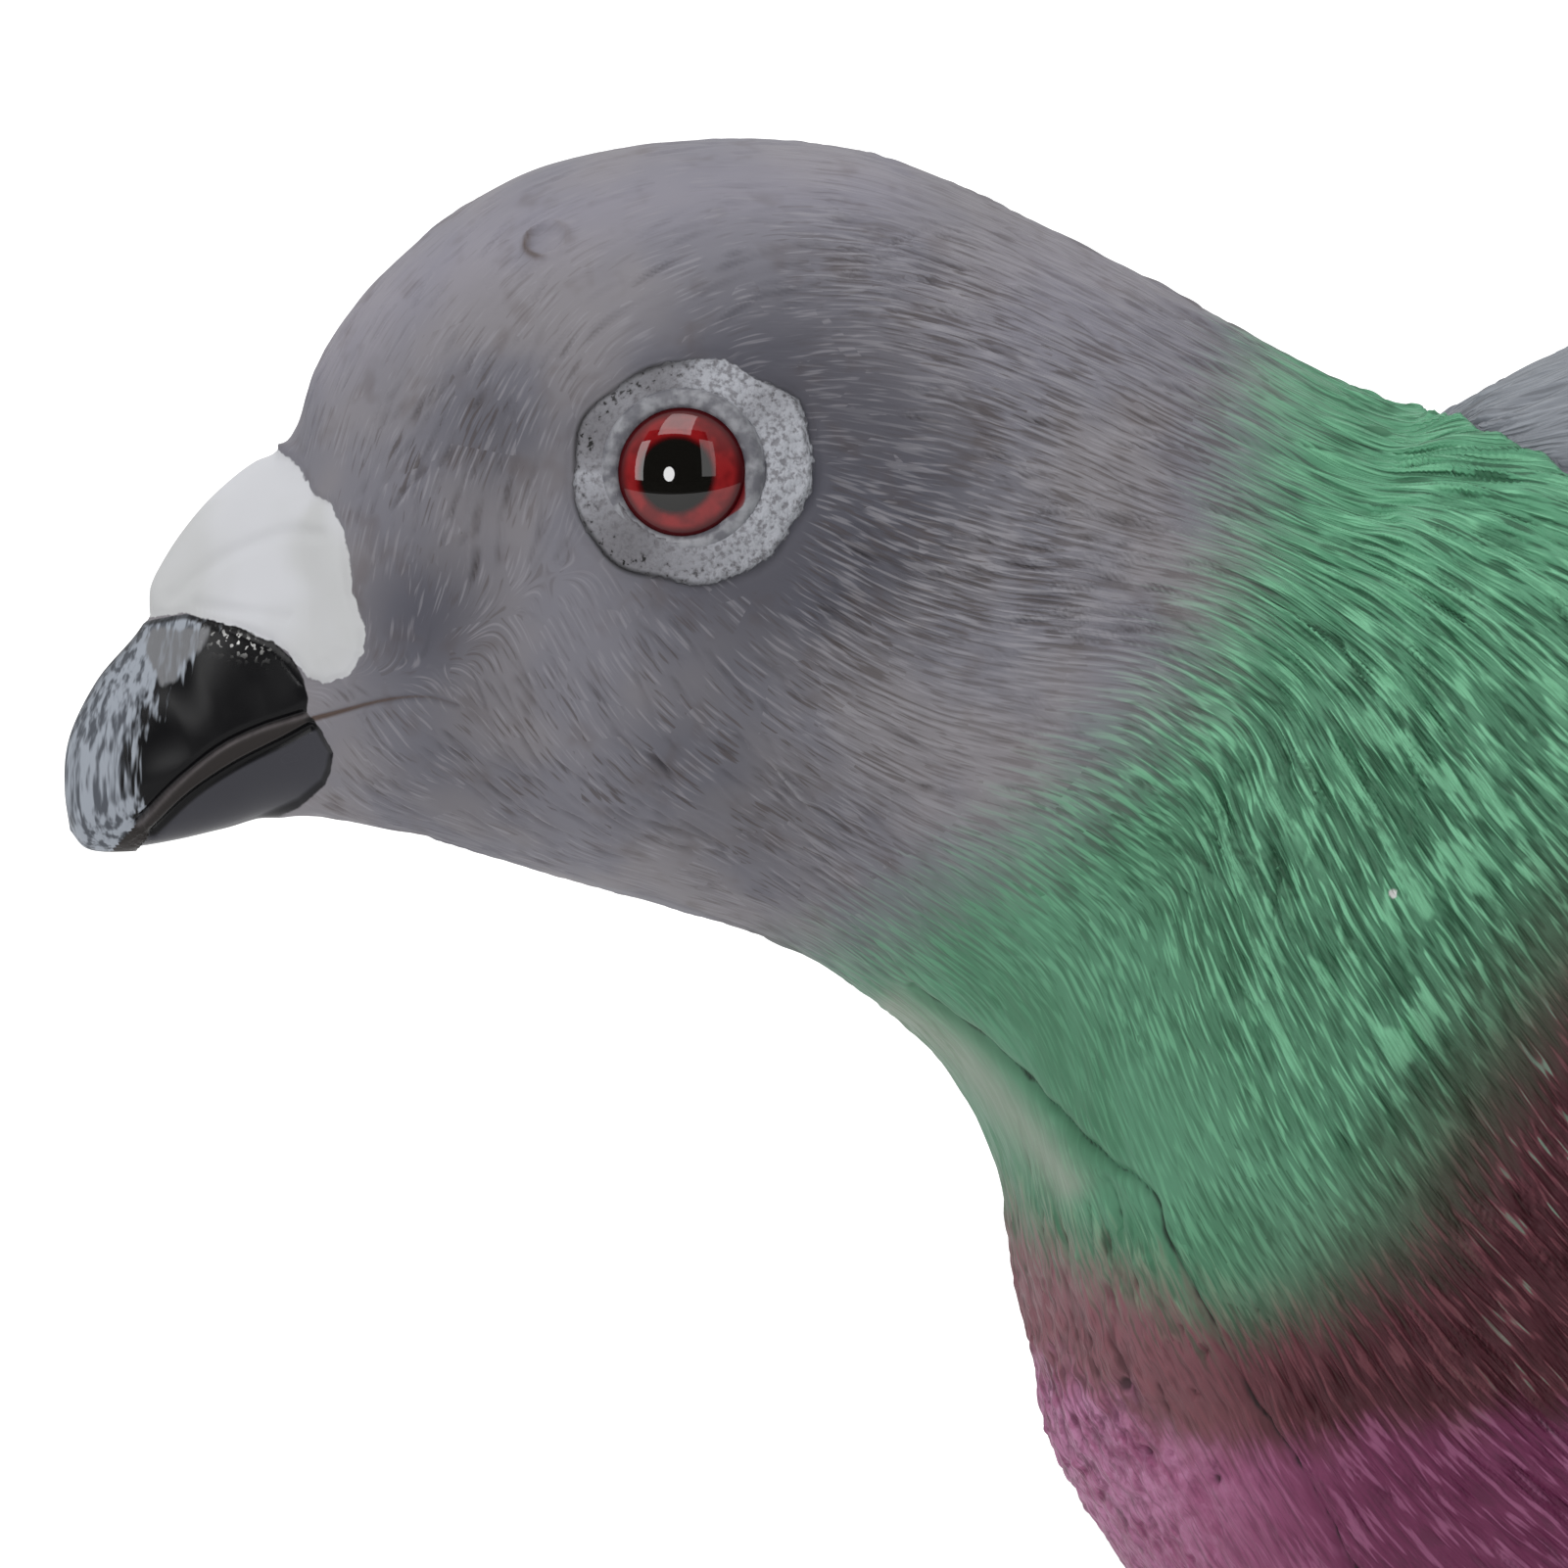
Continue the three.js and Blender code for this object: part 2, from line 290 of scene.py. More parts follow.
def eyeCoordinates():
    # each vertex's distance and angle round its own side's eye, in the eye's plane
    radius = np.full(x.shape, 99.0)
    angle = np.zeros(x.shape)
    for side in (-1, 1):
        seat, _, rearward, upward = eyePlace(side)
        offset = plain - seat
        across, above = dot(offset, rearward), dot(offset, upward)
        own = sideMark == -side
        stretched = (across - eyeForm["ringShift"]) / eyeForm["ringStretch"]
        radius = np.where(own, np.hypot(stretched, above), radius)
        angle = np.where(own, np.arctan2(above, across - eyeForm["ringShift"]), angle)
    return radius, angle


ringDistance, ringAngle = eyeCoordinates()
ringWander = sum(high * np.sin(waves * ringAngle + phase) for high, waves, phase in eyeForm["ringWaves"])
tailReach, tailAngle, tailWidth = eyeForm["ringTail"]
ringTail = tailReach * bump(ringAngle - tailAngle, tailWidth)
ringEdge = ringDistance - (eyeForm["ringRadius"] + ringWander + ringTail)

# Paint borders in the side view; each is a short line of points
borders = {
    "cere": [
        (-86, 61), (-84.4, 60), (-82.2, 60.2), (-79.1, 59.4), (-77.2, 58.6), (-76.1, 57.6), (-75.3, 56.5),
        (-74.4, 56.2), (-73.1, 56.6), (-72.2, 57.9), (-72.1, 59.4), (-72.8, 61.2), (-73, 63.2), (-73.4, 64.9),
        (-74.1, 66.3), (-75.1, 66.8), (-75.8, 68.3), (-76.6, 69.1), (-77.8, 71), (-82.7, 71), (-88, 65),
    ],
    "bill": [
        (-92, 61.6), (-86, 61.4), (-84.4, 59.8), (-82.2, 60.2), (-79.1, 59.4), (-77.2, 58.6), (-76.1, 57.6),
        (-75.5, 56.5), (-75.2, 55.4), (-75.3, 54.6), (-74.5, 53.6), (-73.8, 52.3), (-74, 51.2), (-74.3, 50.5),
        (-75.7, 49.3), (-78, 48.2), (-83.8, 46.3), (-85, 44), (-92, 44),
    ],
    "frost": [
        (-85.4, 44), (-84.3, 48.5), (-84.9, 50.2), (-85, 52), (-84.3, 54.2), (-83.4, 56.1), (-82.4, 57.2),
        (-80.9, 59.8), (-80.7, 62),
    ],
    # a grey patch near the bill's top: a painted reflection of the top softbox
    "billReflection": [
        (-84.6, 58.7), (-83.9, 59.3), (-80.8, 59.3), (-81.2, 58.2), (-82.2, 57.4), (-82.6, 56.4),
        (-83.4, 56.2), (-84.2, 57.4),
    ],
    "green": [
        (-18, 84), (-21.5, 75.6), (-22.9, 63.6), (-26.4, 55.6), (-34.7, 47.7), (-43.1, 41.8), (-52, 38),
    ],
    "wine": [
        (-45, 31), (-38, 28.4), (-35.5, 26), (-32, 24.4), (-28.2, 22.7), (-24.1, 20.8), (-18.3, 21.8),
        (-13.3, 24.4), (-10.6, 29.5), (-7.4, 35), (-4.6, 39), (9, 55),
    ],
    "magenta": [
        (-42, 20), (-34.3, 18.2), (-30.5, 16.5), (-26.6, 13.8), (-21.7, 13.8), (-15.6, 15.4), (12, 17),
    ],
}
cereEdge = outlineDistance(borders["cere"], x, z)
billEdge = outlineDistance(borders["bill"], x, z)
frostEdge = lineDistance(borders["frost"], x, z)
billReflectionEdge = outlineDistance(borders["billReflection"], x, z)
greenEdge = lineDistance(borders["green"], x, z)
wineEdge = -lineDistance(borders["wine"], x, z)
magentaEdge = -lineDistance(borders["magenta"], x, z)

# Carved lines in the side view
carved = {
    "mouthUpper": [(-84.8, 48.5), (-82.7, 50.7), (-80.4, 52.6), (-78.2, 53.7), (-75.4, 54.6)],
    "mouthLower": [(-84, 47.8), (-81.7, 50), (-79.3, 51.6), (-76.6, 53), (-75, 53.9)],
    "gape": [(-75, 54.2), (-70.6, 55.3), (-68.4, 55.4), (-66.8, 55)],
    "cereCrease": [(-83, 61), (-80, 63.2), (-76.7, 64.6), (-74.5, 64.6)],
    "cereFold": [(-81.5, 60.6), (-78.5, 60.2), (-76.3, 59.9)],
    "throatCrease": [
        (-41.5, 39.2), (-36.4, 35.3), (-31.8, 30.6), (-28.5, 27.8), (-27.7, 25.5), (-26, 22.4), (-23.8, 18),
        (-22.4, 15.8), (-20.4, 13), (-17.3, 7.2),
    ],
    "creaseBranch": [(-30.9, 28.6), (-30.4, 27.3), (-30.2, 26.1)],
    "throatStrip": [(-42.5, 38), (-39.3, 35.8), (-35.6, 31.8), (-32.9, 28.4)],
    "crownBand": [(-74.5, 75), (-67.5, 80), (-59.6, 82.4), (-51, 84), (-43, 84.2)],
}


def carvedDistance(name, wobble=0.0):
    # distance from a smooth line through the named points, which noise may make wobble
    points = np.array(carved[name], float)
    line = throughPoints(points, np.linspace(0, 1, 5 * (len(points) - 1) + 1), False)
    return lineDistance(line, x + wobble * softNoise(plain, 1.4, 51), z + wobble * softNoise(plain, 1.1, 52))


mouthUpper = carvedDistance("mouthUpper")
mouthLower = carvedDistance("mouthLower")
mouthRidge = np.minimum(-mouthUpper, mouthLower)  # above 0 between the mouth's two lines
mouthLine = np.minimum(np.abs(mouthUpper) + 0.12, np.abs(mouthLower + 0.08))
gape = np.abs(carvedDistance("gape"))
cereCrease, cereFold = np.abs(carvedDistance("cereCrease")), np.abs(carvedDistance("cereFold"))
throatSide = carvedDistance("throatCrease", 0.14)
throatCrease = np.minimum(np.abs(throatSide), np.abs(carvedDistance("creaseBranch", 0.2)) + 0.06)

# A burst bubble on the crown with an open oval rim, and a chip in the neck's paint
bubble = {"x": -61.8, "z": 80.9, "radius": 1.25, "squash": 0.7, "tilt": math.radians(25)}
bubbleX = (x - bubble["x"]) * math.cos(bubble["tilt"]) + (z - bubble["z"]) * math.sin(bubble["tilt"])
bubbleZ = (z - bubble["z"]) * math.cos(bubble["tilt"]) - (x - bubble["x"]) * math.sin(bubble["tilt"])
bubbleRim = np.hypot(bubbleX, bubbleZ / bubble["squash"]) - bubble["radius"]
bubbleMark = bump(bubbleRim, 0.2) * (ease(-bubbleX, 0.2, 1.0) + 0.3 * ease(bubbleX, 0.6, 1.0))
speckMark = patch(-15.1, 44.6, 0.35)

# The neck's plumage ends in a collar over the mantle behind it
collar = {"notchX": -12.6, "notchZ": 71.7, "footX": 14.9, "sweep": 27.5, "power": 6, "step": 1.1, "fade": 9}


def mantleDistance():
    # how far a place lies behind the collar's edge, whose height curve ends in short locks
    height = np.clip(z / collar["notchZ"], 0, 1.5) ** collar["power"]
    edge = np.maximum(collar["notchX"], collar["footX"] - collar["sweep"] * height)
    ragged = layeredNoise((0.9, 3.0, 21), (0.5, 1.1, 22))
    return x - edge + ragged


mantleEdge = mantleDistance()


# Low forms on the plain skin; a line is given by its height or depth and its width
lowForms = {
    # x, z, radius, height
    "mounds": [
        (-54.7, 77, 5.5, 0.7),  # brow
        (-58.5, 54, 7, 0.8),  # cheek
        (-44.2, 69.8, 5, -0.5),  # hollow behind the eye
        (-65.7, 62.1, 3.6, -0.6),  # dent before the eye
        (16.8, 39.6, 15, 2.4),  # wing shoulder
        (-76.5, 69.2, 0.4, 0.8),  # top of the cere
    ],
    "mouthUpper": (0.3, 0.2),
    "mouthLower": (0.45, 0.26),
    "lowerJaw": 0.25,  # how far it stands back
    "gape": (0.24, 0.17),
    "cereSwell": 0.28,
    "cereBorder": (0.2, 0.25),
    "cereCrease": (0.24, 0.4),
    "cereFold": (0.16, 0.35),
    "cereWaves": 0.16,
    "throatCrease": (0.5, 0.24),
    "throatHollow": (0.1, 0.9),
    "throatLip": (0.14, 2.2),
    "bubbleRim": (0.16, 0.3),
    "bubbleFloor": 0.2,
    "chip": 0.3,
}


def softLine(name, distance):
    size, width = lowForms[name]
    return size * bump(distance, width)


def broadForms():
    # the low rounded forms, the collar's step, the mouth, the cere's folds and the creases, as one height
    height = sum(rise * patch(*place) for *place, rise in lowForms["mounds"])
    stepBack = collar["step"] * np.exp(-np.maximum(mantleEdge, 0) / collar["fade"])
    height -= stepBack * ease(mantleEdge, -0.2, 0.5)
    onBill = ease(-billEdge, -0.1, 0.4)
    onCere = ease(-cereEdge, -0.1, 0.6)
    height -= (softLine("mouthUpper", mouthUpper) + softLine("mouthLower", mouthLower + 0.05)) * onBill
    height -= lowForms["lowerJaw"] * ease(-mouthLower, 0, 0.4) * onBill
    height -= softLine("gape", gape) + softLine("cereBorder", cereEdge)
    height += lowForms["cereSwell"] * onCere * ease(-cereEdge, 0, 1.6)
    height -= (softLine("cereCrease", cereCrease) + softLine("cereFold", cereFold)) * onCere
    height += lowForms["cereWaves"] * softNoise(plain, 2.6, 42) * onCere
    height -= softLine("throatCrease", throatCrease) + softLine("throatHollow", throatCrease)
    height += softLine("throatLip", throatSide) * ease(throatSide, 0.1, 0.5)
    height += softLine("bubbleRim", bubbleRim) - lowForms["bubbleFloor"] * ease(-bubbleRim, 0, 0.6)
    return height - lowForms["chip"] * speckMark


def breastPits():
    # small burst bubbles on the breast: four that show, and more by chance between them
    pits = [(-33.5, 18.7, 0.45), (-29.9, 17.3, 0.5), (-28.5, 13.5, 0.35), (-24.7, 12.1, 0.35)]
    rng = np.random.default_rng(61)
    for pitX, pitZ in zip(rng.uniform(-34, -22, 14), rng.uniform(5, 22, 14)):
        pits.append((pitX, pitZ, rng.uniform(0.12, 0.26)))
    marks = np.zeros(x.shape)
    for pitX, pitZ, size in pits:
        near = np.argmin((x - pitX) ** 2 + (z - pitZ) ** 2 + 1e6 * (sideMark < 0))
        away = np.linalg.norm(plain - plain.reshape(-1, 3)[near], axis=-1)
        marks += bump(away, size) * min(size * 2.4, 1)
    return marks


breastPit = breastPits()


def ringRelief(height):
    # a hidden pit under the eye, then the bare ring, which falls a little towards its edge, and a groove
    # round it
    ring = eyeForm["ringRise"] - eyeForm["ringFall"] * ease(ringDistance, 4.4, 5.8)
    pit = eyeForm["pit"] + (ring - eyeForm["pit"]) * ease(ringDistance, 3.5, 3.9)
    inRing = ease(-ringEdge, -0.05, 0.3)
    around = eyeForm["ringGroove"] * bump(ringEdge - 0.22, 0.26)
    return height * (1 - inRing) + pit * inRing - around


# The lay of the carved plumage in the side view. Each knot is x, z, angle in degrees, length of the strokes,
# and how strongly they are cut in and stand out, from 0 to 1.
plumage = {
    "lay": [
        (-73.9, 71.5, 72, 3, 0.4, 0.2), (-68, 79.5, 52, 3, 0.25, 0.15), (-61.8, 84.2, 30, 3, 0.15, 0.15),
        (-52, 85.8, 2, 3, 0.1, 0.15), (-42, 84.5, -15, 3, 0.2, 0.2), (-32.1, 80.3, -27, 3.5, 0.4, 0.4),
        (-23.9, 76.2, -30, 4.5, 0.6, 0.6), (-15.6, 72.6, -32, 5, 0.7, 0.8),
        # side of the forehead
        (-71, 74, 62, 3, 0.2, 0.1), (-69.5, 68.2, 68, 3.5, 1, 0.5), (-65.1, 71, 62, 3.5, 1, 0.5),
        (-61.8, 75.9, 52, 3.5, 0.4, 0.4), (-56, 81, 25, 3.5, 0.15, 0.3), (-54, 78.4, 32, 3.5, 0.4, 0.7),
        (-45.9, 79.5, 6, 4, 0.7, 0.7), (-40.4, 76.5, -8, 4, 1, 0.8), (-34.9, 72.6, -22, 4, 1, 0.7),
        (-29, 69.8, -30, 4, 0.9, 0.5), (-47, 75.5, 12, 3, 0.2, 0.4), (-55, 75.3, 25, 2.5, 0.1, 0.2),
        # before the eye
        (-70.6, 61.6, 75, 3, 0.1, 0.1), (-66.2, 63.8, 72, 3.5, 0.8, 0.3), (-61.8, 66, 75, 3, 0.5, 0.2),
        (-62, 70.2, 70, 3, 0.4, 0.2),
        # behind the eye
        (-45, 71.8, 0, 3, 0.1, 0.15), (-42, 68.2, -5, 3.5, 0.3, 0.4), (-44.2, 63.8, -28, 4, 0.8, 0.7),
        (-39.8, 61.6, -15, 5, 1, 1), (-34.3, 60.5, 0, 5, 1, 1), (-29.4, 61.6, -8, 4.5, 0.7, 0.5),
        # cheek
        (-50.8, 60, -40, 3, 0.3, 0.2), (-45.9, 58.9, -35, 4, 0.9, 0.7), (-54.1, 57.2, -50, 3.5, 0.9, 0.4),
        (-59.6, 58.9, -62, 3, 0.2, 0.1), (-61.8, 55, -65, 3.5, 1, 0.4), (-58.5, 50.6, -58, 4, 1, 0.4),
        (-54.1, 51.7, -48, 4, 1, 0.4), (-48.6, 52.8, -38, 4, 1, 0.5), (-43.1, 55, -25, 4, 0.9, 0.5),
        (-37.6, 56.1, -10, 4, 0.5, 0.3), (-47.5, 47.3, -42, 4, 0.9, 0.5), (-64, 50.6, -50, 3, 0.9, 0.5),
        (-71.7, 51.1, -50, 2.5, 0.7, 0.4), (-67.9, 48.4, -15, 3, 0.2, 0.2), (-57.4, 45.1, -17, 4, 0.2, 0.2),
        (-44.2, 41.8, -38, 4, 0.4, 0.3),
        # neck
        (-37.6, 50.6, -10, 3.5, 0.5, 0.3), (-32.1, 55, -5, 3.5, 0.4, 0.4), (-26.6, 53.9, -35, 5, 0.7, 0.9),
        (-29.4, 47.9, -25, 3.5, 0.8, 0.4), (-22.2, 50.6, -62, 7, 0.8, 1), (-18.4, 45.1, -68, 7, 0.8, 1),
        (-23.9, 40.7, -55, 5, 0.6, 0.8), (-29.4, 39.6, -45, 4, 0.5, 0.4), (-12.9, 52.8, -55, 7, 0.8, 1),
        (-15.6, 61.6, -48, 6, 0.8, 1), (-8, 61.6, -45, 6, 0.8, 1), (-7.1, 46.5, -49, 6, 0.8, 1),
        (-12.9, 39.6, -60, 6, 0.8, 1), (-20, 35.2, -60, 5, 0.6, 0.8), (-10.1, 34.1, -55, 6, 0.8, 1),
        (-16, 68.4, -44, 5, 0.7, 0.9), (-7.9, 66, -42, 6, 0.8, 1), (-20, 72, -40, 5, 0.6, 0.4),
        # throat and breast
        (-37.6, 42.4, -30, 3.5, 0.4, 0.2), (-34.9, 35.2, -40, 3, 0.1, 0.1), (-29.4, 31.4, -50, 3, 0.2, 0.2),
        (-23.9, 25.9, -50, 3.5, 0.6, 0.3), (-31, 23.1, -70, 3, 0.5, 0.5), (-33.2, 17.6, -72, 2.5, 0.7, 0.7),
        (-26.6, 14.8, -62, 3, 0.4, 0.5), (-21.1, 17.6, -58, 4, 0.8, 0.8), (-15.6, 20.4, -50, 5, 0.8, 0.8),
        (-8, 23.1, -43, 6, 0.8, 1), (-15.6, 12.1, -45, 4, 0.7, 0.7), (-25, 8.2, -56, 3, 0.5, 0.5),
        (-7.4, 12.1, -40, 5, 0.7, 0.8),
        # mantle, back and sides
        (-4.6, 74.8, 15, 4, 0.5, 0.5), (0.9, 76.5, 0, 5, 0.5, 0.5), (9.1, 73.7, -20, 5, 0.5, 0.5),
        (17.4, 67.1, -50, 6, 0.5, 0.5), (22.9, 50.6, -80, 6, 0.5, 0.5), (25.1, 23.1, -90, 6, 0.5, 0.5),
        (6.4, 56.1, -45, 6, 0.7, 0.9), (11.9, 28.6, -70, 6, 0.7, 0.8), (0.9, 28.6, -55, 6, 0.7, 0.9),
        (0.9, 6.6, -60, 5, 0.6, 0.7), (11.9, 6.6, -80, 5, 0.5, 0.6),
    ],
    "reach": 2.2,  # how far a knot's own values hold before its neighbours take over
}


def layFields():
    # each knot counts by one over the square of (distance squared plus reach squared)
    total = np.zeros(x.shape)
    sums = np.zeros((5,) + x.shape)
    for knotX, knotZ, angle, length, cut, raised in plumage["lay"]:
        weight = 1 / ((x - knotX) ** 2 + (z - knotZ) ** 2 + plumage["reach"] ** 2) ** 2
        total += weight
        radians = math.radians(angle)
        for k, value in enumerate((math.cos(radians), math.sin(radians), length, cut, raised)):
            sums[k] += weight * value
    return sums / total


layX, layZ, strokeLength, cutShare, raisedShare = layFields()
layDirection = np.stack([layX, np.zeros(x.shape), layZ], axis=-1)
lay = unit(layDirection - plainNormal * dot(layDirection, plainNormal)[..., None])
sideways = np.cross(plainNormal, lay)


def gridRates():
    # how many rows and columns a millimetre along the lay, and across it, passes
    backBack, backAround = dot(backStep, backStep), dot(backStep, aroundStep)
    aroundAround = dot(aroundStep, aroundStep)
    spread = np.maximum(backBack * aroundAround - backAround**2, 1e-9)
    rates = []
    for direction in (lay, sideways):
        onBack, onAround = dot(direction, backStep), dot(direction, aroundStep)
        rates.append((aroundAround * onBack - backAround * onAround) / spread)
        rates.append((backBack * onAround - backAround * onBack) / spread)
    return [rate.ravel() for rate in rates]


layRows, layColumns, sideRows, sideColumns = gridRates()
backOnLay, backOnSide = dot(backStep, lay).ravel(), dot(backStep, sideways).ravel()
aroundOnLay, aroundOnSide = dot(aroundStep, lay).ravel(), dot(aroundStep, sideways).ravel()
layNoise = layeredNoise((0.75, 5.0, 31), (0.4, 1.8, 32)).ravel()
cellArea = np.linalg.norm(np.cross(backStep, aroundStep), axis=-1)


# Coordinates along and across the plumage's lay, for strands behind the eye
strandForm = {
    "firstSection": 12,
    "rounds": 3,
    "pace": (0.75, 1.4),  # how far millimetres across the lay may shrink and stretch
    # stretched noise: length along the lay, width across it, its height, and its seed
    "clumps": (6.0, 1.2, 0.18, 71),
    "ridges": (3.2, 0.44, 0.34, 72),
}


def flowCoordinate(backRun, aroundRun):
    # The field whose steps to the next row and to the next column come nearest to the given ones, by least
    # squares. Cosine waves solve it: the divergence of the steps over each wave's own factor.
    rows, columns = backRun.shape
    backRun, aroundRun = (backRun[1:] + backRun[:-1]) / 2, (aroundRun[:, 1:] + aroundRun[:, :-1]) / 2
    source = np.diff(backRun, axis=0, prepend=0, append=0) + np.diff(aroundRun, axis=1, prepend=0, append=0)
    mirrored = np.block([[source, source[:, ::-1]], [source[::-1], source[::-1, ::-1]]])
    rowWaves = 2 * np.cos(np.arange(2 * rows) * math.pi / rows)[:, None]
    columnWaves = 2 * np.cos(np.arange(2 * columns) * math.pi / columns)
    factor = rowWaves + columnWaves - 4
    factor[0, 0] = 1
    return np.fft.ifft2(np.fft.fft2(mirrored) / factor).real[:rows, :columns]


def strandCoordinates():
    # Millimetres along and across the lay on the left half behind the eye, mirrored on the right. Each round
    # lets the pace across the lay drift, so that the lines of equal distance follow the lay more closely.
    first = np.searchsorted(along, strandForm["firstSection"] / (len(skinForm["sections"]) - 1))
    left = (slice(first, None), slice(0, x.shape[1] // 2 + 1))
    onBack, onAround = dot(sideways, backStep)[left], dot(sideways, aroundStep)[left]
    pace = 1
    for _ in range(strandForm["rounds"]):
        acrossLay = flowCoordinate(pace * onBack, pace * onAround)
        backRate, aroundRate = np.gradient(acrossLay)
        pace = backRate * sideRows.reshape(x.shape)[left] + aroundRate * sideColumns.reshape(x.shape)[left]
        pace = np.clip(pace, *strandForm["pace"])
    alongLay = flowCoordinate(dot(lay, backStep)[left], dot(lay, aroundStep)[left])
    whole = []
    for values in (alongLay, acrossLay):
        values = np.concatenate([values, values[:, -2:0:-1]], axis=1)
        whole.append(np.vstack([np.repeat(values[:1], first, axis=0), values]))
    return whole


alongLay, acrossLay = strandCoordinates()
flowShare = ease(x, -52, -44)
print("strand coordinates made")


def strandNoise(name):
    # noise stretched along the lay, with its own pattern on each side
    length, width, height, seed = strandForm[name]
    place = np.stack([alongLay / length, acrossLay / width, 5.5 * sideMark], axis=-1)
    return height, softNoise(place, 1.0, seed)


def carveStrokes(settings, share):
    # Strokes start at random places, more where the share is high, and run along the lay in short steps. Each
    # step adds to the vertices round it a groove on one side of the stroke and a ridge on the other, both
    # rounded across and tapering along. Gives the depth of the grooves and the height of the ridges.
    rng = np.random.default_rng(settings["seed"])
    rows, columns = x.shape
    meanLength = strokeLength * settings["length"]
    chance = (cellArea * share / (meanLength * settings["spacing"])).ravel()
    count = int(chance.sum())
    starts = rng.choice(rows * columns, count, p=chance / chance.sum())
    row = starts // columns + rng.uniform(-0.5, 0.5, count)
    column = starts % columns + rng.uniform(-0.5, 0.5, count)
    length = meanLength.ravel()[starts] * rng.uniform(0.5, 1.5, count)
    strength = rng.uniform(0.3, 1.0, count)
    heading = np.radians(settings["stray"]) * rng.normal(size=count)
    bend = np.radians(settings["bend"]) * rng.normal(size=count)
    reachRows, reachColumns = settings["reach"]
    window = np.mgrid[-reachRows : reachRows + 1, -reachColumns : reachColumns + 1].reshape(2, -1)
    grooves = np.zeros(rows * columns)
    ridges = np.zeros(rows * columns)
    travelled = 0.0
    while len(row):
        nearRow, nearColumn = np.round(row).astype(int), np.round(column).astype(int)
        spot = nearRow * columns + nearColumn % columns
        aim = heading + np.radians(settings["waver"]) * layNoise[spot]
        cosAim, sinAim = np.cos(aim), np.sin(aim)
        part = travelled / length
        taper = np.minimum(1, 5 * part + 0.2) * (1 - part) ** 0.5
        weight = taper * strength * settings["step"] / (settings["width"] * math.sqrt(math.pi))
        rowOffset = (nearRow - row)[:, None] + window[0]
        columnOffset = (nearColumn - column)[:, None] + window[1]
        onLay = rowOffset * backOnLay[spot][:, None] + columnOffset * aroundOnLay[spot][:, None]
        onSide = rowOffset * backOnSide[spot][:, None] + columnOffset * aroundOnSide[spot][:, None]
        ahead = cosAim[:, None] * onLay + sinAim[:, None] * onSide
        aside = cosAim[:, None] * onSide - sinAim[:, None] * onLay
        spread = weight[:, None] * bump(ahead, settings["width"])
        cells = np.clip(nearRow[:, None] + window[0], 0, rows - 1) * columns
        cells = (cells + (nearColumn[:, None] + window[1]) % columns).ravel()
        groove = spread * bump(aside + settings["grooveShift"], settings["grooveWidth"])
        ridge = spread * bump(aside - settings["ridgeShift"], settings["ridgeWidth"])
        grooves += np.bincount(cells, groove.ravel(), rows * columns)
        ridges += np.bincount(cells, ridge.ravel(), rows * columns)
        row = row + settings["step"] * (cosAim * layRows[spot] + sinAim * sideRows[spot])
        column = column + settings["step"] * (cosAim * layColumns[spot] + sinAim * sideColumns[spot])
        heading = heading + bend * settings["step"]
        travelled += settings["step"]
        live = (travelled < length) & (row > 1) & (row < rows - 2)
        row, column, length, strength, heading, bend = (
            values[live] for values in (row, column, length, strength, heading, bend)
        )
    print("strokes:", settings["name"], count)
    return grooves.reshape(x.shape), ridges.reshape(x.shape)


cuts = {
    "name": "cut in",
    "seed": 5,
    "spacing": 0.62,  # millimetres between strokes where the share is 1
    "length": 0.9,
    "step": 0.18,
    "width": 0.2,
    "grooveWidth": 0.13,
    "grooveShift": 0.0,
    "ridgeWidth": 0.2,
    "ridgeShift": 0.26,
    "stray": 7,
    "bend": 3,
    "waver": 16,
    "reach": (4, 3),
    "depth": 0.26,
    "height": 0.08,
    "most": 1.6,
}
hairs = {
    "name": "raised",
    "seed": 6,
    "spacing": 0.85,
    "length": 1.0,
    "step": 0.18,
    "width": 0.2,
    "grooveWidth": 0.2,
    "grooveShift": 0.3,
    "ridgeWidth": 0.15,
    "ridgeShift": 0.0,
    "stray": 6,
    "bend": 3,
    "waver": 12,
    "reach": (4, 3),
    "depth": 0.16,
    "height": 0.3,
    "most": 1.5,
}
locks = {
    "name": "locks",
    "seed": 7,
    "spacing": 1.7,
    "length": 1.3,
    "step": 0.5,
    "width": 0.6,
    "grooveWidth": 0.45,
    "grooveShift": 0.6,
    "ridgeWidth": 0.6,
    "ridgeShift": 0.3,
    "stray": 6,
    "bend": 2,
    "waver": 16,
    "reach": (6, 6),
    "depth": 0.2,
    "height": 0.22,
    "most": 2,
}
# Plumage is carved off the cere, the bill, the rings, the underside and the carved lines
plumageMask = ease(np.minimum(cereEdge, billEdge), 0.1, 0.9) * ease(ringEdge, 0.2, 1.3) * ease(z, 0, 3)
plumageMask *= ease(gape, 0.1, 0.7) * (1 - 0.8 * bump(throatCrease, 0.5))
# The neck's strands stand out by their own relief, so that the strokes fade there
tuftShare = ease(raisedShare, 0.45, 0.9) * ease(x, -38, -22)
strokeFade = 1 - 0.75 * ease(x, -30, -16)
# The breast's front is lumpy
lumpShare = patch(-32, 14, 8 / 0.7, 0.7)
breastLumps = layeredNoise((1, 0.9, 43), (0.6, 0.5, 46))


def strokeRelief(settings, grooves, ridges, scale):
    # the strokes' grooves and ridges, kept to their greatest and scaled, and the height that they add
    grooves = np.minimum(grooves, settings["most"]) * scale
    ridges = np.minimum(ridges, settings["most"]) * scale
    return grooves, ridges, settings["height"] * ridges - settings["depth"] * grooves


